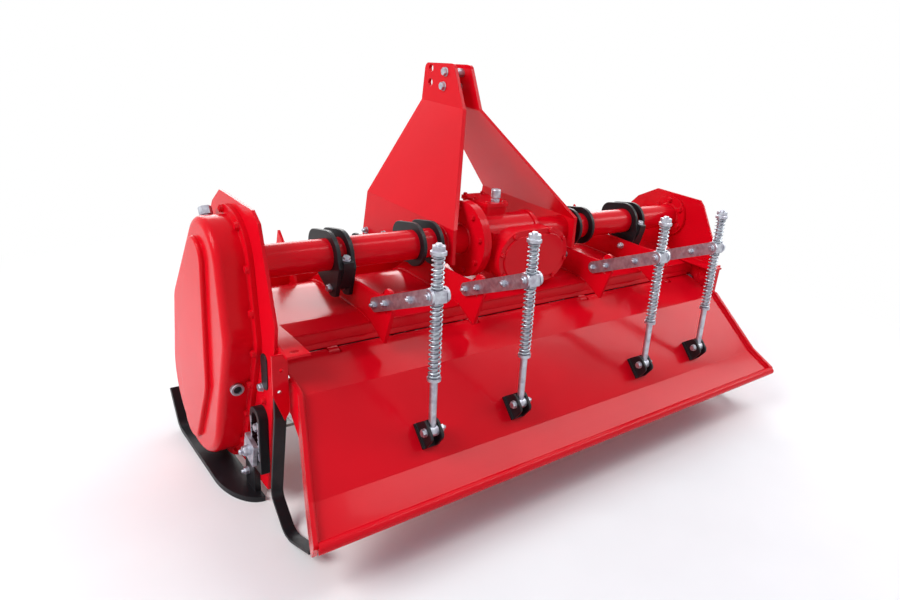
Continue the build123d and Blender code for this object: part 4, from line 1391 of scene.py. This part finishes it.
@dataclass
class SideDrive:
    """The side plates, the gear case on the left and the bearing on the right, with bolts and plugs."""

    side_out: float = 886.0
    rounds: tuple[Triple, ...] = (
        (0.0, 20.0, 110.0),
        (-60.0, -150.0, 75.0),
        (195.0, -190.0, 92.0),
        (150.0, -405.0, 190.0),
    )
    rotor_axis: Pair = (130.0, -370.0)
    rim: float = 13.0
    flange_t: float = 12.0
    case_bolts: int = 18
    breather: Triple = (-927.0, 62.0, 110.0)
    breather_axis: Triple = (0.0, 0.5, 0.87)
    breather_neck: Profile = ((11.0, -4.0), (11.0, 8.0))
    breather_cap: Profile = ((16.5, 7.0), (16.5, 26.0), (15.0, 28.0), (7.0, 29.0))
    sight_plug: Triple = (-930.0, -92.0, -301.0)
    sight_axis: Triple = (0.0, -1.0, -0.06)
    sight_ring: Profile = ((17.0, -3.0), (17.0, 7.0), (15.5, 8.5), (11.0, 8.5), (10.0, 3.0))
    # a black disc of painted shade that stands in for the shaded recess inside the sight plug's ring
    recess_shade_disc: Profile = ((9.8, 2.0), (9.8, 4.0), (8.0, 4.6))
    bearing_t: float = 14.0
    bearing_bolt_r: float = 80.0
    bearing_bolts: int = 6
    bearing_start: float = 30.0
    slot_middle: Pair = (-172.0, -226.0)
    slot_size: Triple = (38.0, 100.0, 3.0)
    slot_bolt: Pair = (-150.0, -279.0)
    spare_bolt: Pair = (-163.0, -310.0)

    def dress(self) -> None:
        """Paints the plates, case and bearing."""
        paint(both("side_plate") + ("gear_case", "bearing_housing"), RED)

    def rim_points(self) -> list[Pair]:
        """Spreads the case's bolts along the middle of its flange.

        Returns:
            The bolts' places in Y and Z.
        """
        outline = [Vector(point) for point in hull(self.rounds, self.rim)]
        steps = [(b - a).length for a, b in zip(outline, outline[1:] + outline[:1])]
        gap = sum(steps) / self.case_bolts
        points: list[Pair] = []
        walked = 0.0
        for start, end, length in zip(outline, outline[1:] + outline[:1], steps):
            while length and len(points) * gap <= walked + length and len(points) < self.case_bolts:
                place = start.lerp(end, (len(points) * gap - walked) / length)
                points.append((place.x, place.y))
            walked += length
        return points

    def build(self) -> None:
        """Adds the painted bolts, the breather, the sight plug with a black disc of painted shade in its
        recess, and the slots' plates.
        """
        bolts = Draft()
        for y, z in self.rim_points():
            M10.draw(bolts, at(-self.side_out - self.flange_t, y, z), (-1, 0, 0), y)
        places = circle(self.rotor_axis, self.bearing_bolt_r, self.bearing_bolts, self.bearing_start)
        for step, (y, z) in enumerate(places):
            M12.draw(bolts, at(self.side_out + self.bearing_t, y, z), (1, 0, 0), 31.0 * step)
        for side in Side:
            M10.draw(bolts, at(side.value * self.side_out, *self.spare_bolt), (side.value, 0, 0), 14)
        bolts.piece("side_drive_bolts", RED)
        bright = Draft()
        top = facing(at(*self.breather), self.breather_axis, 20)
        bright.turned(top, self.breather_neck, 20)
        bright.turned(top, self.breather_cap, 6)
        rear = facing(at(*self.sight_plug), self.sight_axis, 10)
        bright.turned(rear, self.sight_ring, 28)
        for side in Side:
            M12.draw(bright, at(side.value * self.side_out, *self.slot_bolt), (side.value, 0, 0), 21)
        bright.piece("side_drive_plugs", ZINC)
        slots = Draft()
        # painted shade: a black disc fills the sight plug's recess where only shade would fall
        slots.turned(rear, self.recess_shade_disc, 24)
        for side in Side:
            upright = facing(at(side.value * self.side_out, *self.slot_middle), (side.value, 0, 0), 90)
            slots.oblong(upright, *self.slot_size)
        slots.piece("side_plate_slots_and_recess_shade", BLACK)


@dataclass
class GroundGear:
    """The skids, their adjusters, the corner brackets and the rear legs."""

    channel_x: float = 902.0
    square_x: float = 922.0
    square_yz: Pair = (-131.0, -467.0)
    slot_bolt: Pair = (-150.0, -393.0)
    rack_x: Pair = (910.0, 911.6)
    rack_middle: Pair = (-150.0, -424.0)
    rack_half: float = 57.0
    rack_edges: Pair = (19.0, 26.0)
    notch_depth: float = 5.6
    notch_pitch: float = 13.5
    notches: int = 6
    lug_x: float = 902.0
    lug_bolt: Pair = (-64.0, -577.0)
    front_bolt: Pair = (364.0, -540.0)
    shelf_x: Pair = (818.0, 878.0)
    shelf_y: Pair = (-240.5, -92.0)
    shelf_z: Pair = (-144.0, -138.0)
    bead_r: float = 4.0

    def dress(self) -> None:
        """Coats the runners and legs, and paints the brackets."""
        paint(both("skid") + both("skid_adjuster") + both("rear_leg"), BLACK)
        paint(both("skid_clamp"), ZINC)
        paint(both("bracket"), RED)

    def build(self) -> None:
        """Adds the bright bolts and notched strips that set the skids, and the brackets' shelves."""
        bolts = Draft()
        for side in Side:
            out = (side.value, 0, 0)
            M16_NUT.draw(bolts, at(side.value * self.square_x, *self.square_yz), out, 15)
            M12.draw(bolts, at(side.value * self.channel_x, *self.slot_bolt), out, 4)
            M12_NUT.draw(bolts, at(side.value * self.lug_x, *self.lug_bolt), out, 18)
            M12.draw(bolts, at(side.value * self.lug_x, *self.front_bolt), out, 27)
            for edge in (-1, 1):
                bolts.prism(self.rack(edge), (side.value * self.rack_x[0], side.value * self.rack_x[1]))
        bolts.piece("skid_bolts", ZINC)
        shelves = Draft()
        rear, front = self.shelf_y
        low, high = self.shelf_z
        for side in Side:
            near, far = (side.value * edge for edge in self.shelf_x)
            shelves.prism(((rear, low), (front, low), (front, high), (rear, high)), (near, far))
            shelves.weld([at(far, y, high) for y in self.shelf_y], self.bead_r)
        shelves.piece("bracket_shelves", RED)

    def rack(self, edge: int) -> list[Pair]:
        """Draws the bright notched strip along one edge of an adjuster's slot.

        Args:
            edge: -1 for the rear edge, 1 for the front one.

        Returns:
            The strip's corners in Y and Z.
        """
        y, z = self.rack_middle
        near, far = (y + edge * reach for reach in self.rack_edges)
        line = [(far, z - self.rack_half), (near, z - self.rack_half)]
        for step in range(self.notches):
            middle = z + (step - (self.notches - 1) / 2) * self.notch_pitch
            line.append((near, middle - self.notch_depth))
            line.append((near + edge * self.notch_depth, middle))
            line.append((near, middle + self.notch_depth))
        return line + [(near, z + self.rack_half), (far, z + self.rack_half)]


@dataclass
class Rotor:
    """The tined rotor, with the bolts that hold its tines."""

    axis: Pair = (130.0, -370.0)
    first_x: float = 785.5
    flanges: int = 8
    tines: int = 6
    twist: float = 22.0
    tine_face: float = 13.0
    flange_half: float = 6.0
    tube_r: float = 40.0
    bolt_at: Profile = ((-12.0, 62.0), (12.0, 62.0))
    bead_r: float = 4.0

    def dress(self) -> None:
        """Gives the rotor its dipped and ground steel."""
        paint(("rotor",), TINES)

    def build(self) -> None:
        """Adds two bolts to each tine and the welds of the flanges."""
        bolts = Draft()
        beads = Draft()
        pitch = 2 * self.first_x / (self.flanges - 1)
        for row in range(self.flanges):
            x = -self.first_x + row * pitch
            for index in range(self.tines):
                hand = 1 if index % 2 else -1
                turn = math.radians(index * 360 / self.tines + row * self.twist)
                for across, out in self.bolt_at:
                    y = across * math.cos(turn) - out * math.sin(turn)
                    z = across * math.sin(turn) + out * math.cos(turn)
                    place = at(x + hand * self.tine_face, self.axis[0] + y, self.axis[1] + z)
                    M12.draw(bolts, place, (hand, 0, 0), 13.0 * index)
            for face in (-self.flange_half, self.flange_half):
                ring = facing(at(x + face, *self.axis), (1, 0, 0))
                beads.weld_ring(ring, self.tube_r + 1.0, self.bead_r)
        bolts.piece("tine_bolts", TINES, Body.ROTOR.value)
        beads.piece("rotor_welds", TINES, Body.ROTOR.value)


@dataclass(frozen=True)
class SoftBox:
    """A flat lamp with a white face, in metres and watts."""

    name: str
    place: Triple
    target: Triple
    size: Pair
    watts: float

    def build(self) -> None:
        """Hangs the lamp and points it at its target."""
        data = bpy.data.lights.new(self.name, "AREA")
        data.shape = "RECTANGLE"
        data.size, data.size_y = self.size
        data.energy = self.watts
        lamp = bpy.data.objects.new(self.name, data)
        lamp.visible_camera = False
        look = (Vector(self.target) - Vector(self.place)).to_track_quat("-Z", "Y").to_matrix().to_4x4()
        lamp.matrix_world = Matrix.Translation(self.place) @ look
        bpy.context.scene.collection.objects.link(lamp)


@dataclass
class Studio:
    """The pale floor, the soft light and the camera.

    The key box lights the left side and the front box the tractor's side. The two strips hang where the
    board's lip and its upper slope mirror them to the camera.
    """

    boxes: tuple[SoftBox, ...] = (
        SoftBox("key_box", (-4.8, 0.2, 4.0), (0.0, 0.0, 0.5), (3.0, 3.0), 255.0),
        SoftBox("front_box", (2.2, 5.2, 2.6), (0.0, 0.0, 0.5), (7.0, 3.0), 260.0),
        SoftBox("lip_strip", (2.15, -1.3, 2.8), (0.0, -1.2, 0.0), (0.8, 3.6), 52.0),
        SoftBox("slope_strip", (2.5, 1.7, 2.75), (0.0, 1.7, 0.4), (1.2, 3.2), 25.0),
    )
    floor_half: float = 14.0
    sky: str = "#E2E6FF"
    ground: str = "#FFD9B8"
    sky_strength: float = 0.45
    sky_span: Pair = (-0.4, 0.6)
    camera_mm: Triple = (-1462.38, -1704.43, 606.97)
    right: Triple = (0.76257732, -0.63796162, 0.10714853)
    down: Triple = (-0.17961541, -0.36793206, -0.91234002)
    ahead: Triple = (0.62146129, 0.67648427, -0.39516438)
    lens: float = 27.65
    sensor: float = 36.0
    shift: Pair = (-0.0738, 0.0386)
    clip_end: float = 100.0

    def build_floor(self) -> None:
        """Lays the floor."""
        half = self.floor_half
        data = bpy.data.meshes.new("floor")
        corners = [(-half, -half, 0), (half, -half, 0), (half, half, 0), (-half, half, 0)]
        data.from_pydata(corners, [], [(0, 1, 2, 3)])
        data.materials.append(StudioFloor().material())
        floor = bpy.data.objects.new("floor", data)
        bpy.context.scene.collection.objects.link(floor)

    def build_sky(self) -> None:
        """Lights the room from all round, cooler above and warmer below, with white behind the machine."""
        world = bpy.data.worlds.new("studio")
        world.use_nodes = True
        tree = world.node_tree
        tree.nodes.clear()
        where = add_node(tree, "ShaderNodeTexCoord").outputs["Generated"]
        height = add_node(tree, "ShaderNodeSeparateXYZ", inputs={"Vector": where}).outputs["Z"]
        span = {"Value": height, "From Min": self.sky_span[0], "From Max": self.sky_span[1]}
        lift = add_node(tree, "ShaderNodeMapRange", inputs=span).outputs["Result"]
        colours = {0: lift, 6: linear(self.ground), 7: linear(self.sky)}
        tint = add_node(tree, "ShaderNodeMix", {"data_type": "RGBA"}, colours).outputs[2]
        glow = {"Color": tint, "Strength": self.sky_strength}
        light = add_node(tree, "ShaderNodeBackground", inputs=glow).outputs[0]
        plain = {"Color": (1.0, 1.0, 1.0, 1.0), "Strength": 1.0}
        white = add_node(tree, "ShaderNodeBackground", inputs=plain).outputs[0]
        mixed = add_node(tree, "ShaderNodeMixShader", inputs={0: seen_ray(tree), 1: light, 2: white})
        add_node(tree, "ShaderNodeOutputWorld", inputs={"Surface": mixed.outputs[0]})
        bpy.context.scene.world = world

    def build_camera(self) -> None:
        """Stands the camera behind and to the left of the machine."""
        data = bpy.data.cameras.new("camera")
        data.sensor_width = self.sensor
        data.lens = self.lens
        data.shift_x, data.shift_y = self.shift
        data.clip_end = self.clip_end
        camera = bpy.data.objects.new("camera", data)
        turn = Matrix((self.right, [-v for v in self.down], [-v for v in self.ahead])).transposed()
        camera.matrix_world = Matrix.Translation(at(*self.camera_mm)) @ turn.to_4x4()
        bpy.context.scene.collection.objects.link(camera)
        bpy.context.scene.camera = camera

    def build(self) -> None:
        """Builds the studio."""
        self.build_floor()
        self.build_sky()
        for box in self.boxes:
            box.build()
        self.build_camera()
        bpy.context.scene.view_settings.view_transform = "Standard"


def main() -> None:
    """Dresses every sub-assembly in order and sets the studio round it."""
    logging.basicConfig(level=logging.INFO, format="%(name)s: %(message)s")
    assemblies = (
        CrossTube(),
        Gearbox(),
        Mast(),
        TubePlates(),
        Hood(),
        SpringRods(),
        Board(),
        SideDrive(),
        GroundGear(),
        Rotor(),
    )
    for assembly in assemblies:
        assembly.dress()
        assembly.build()
        LOG.info("%s is dressed", type(assembly).__name__)
    Studio().build()


if __name__ == "__main__":
    main()
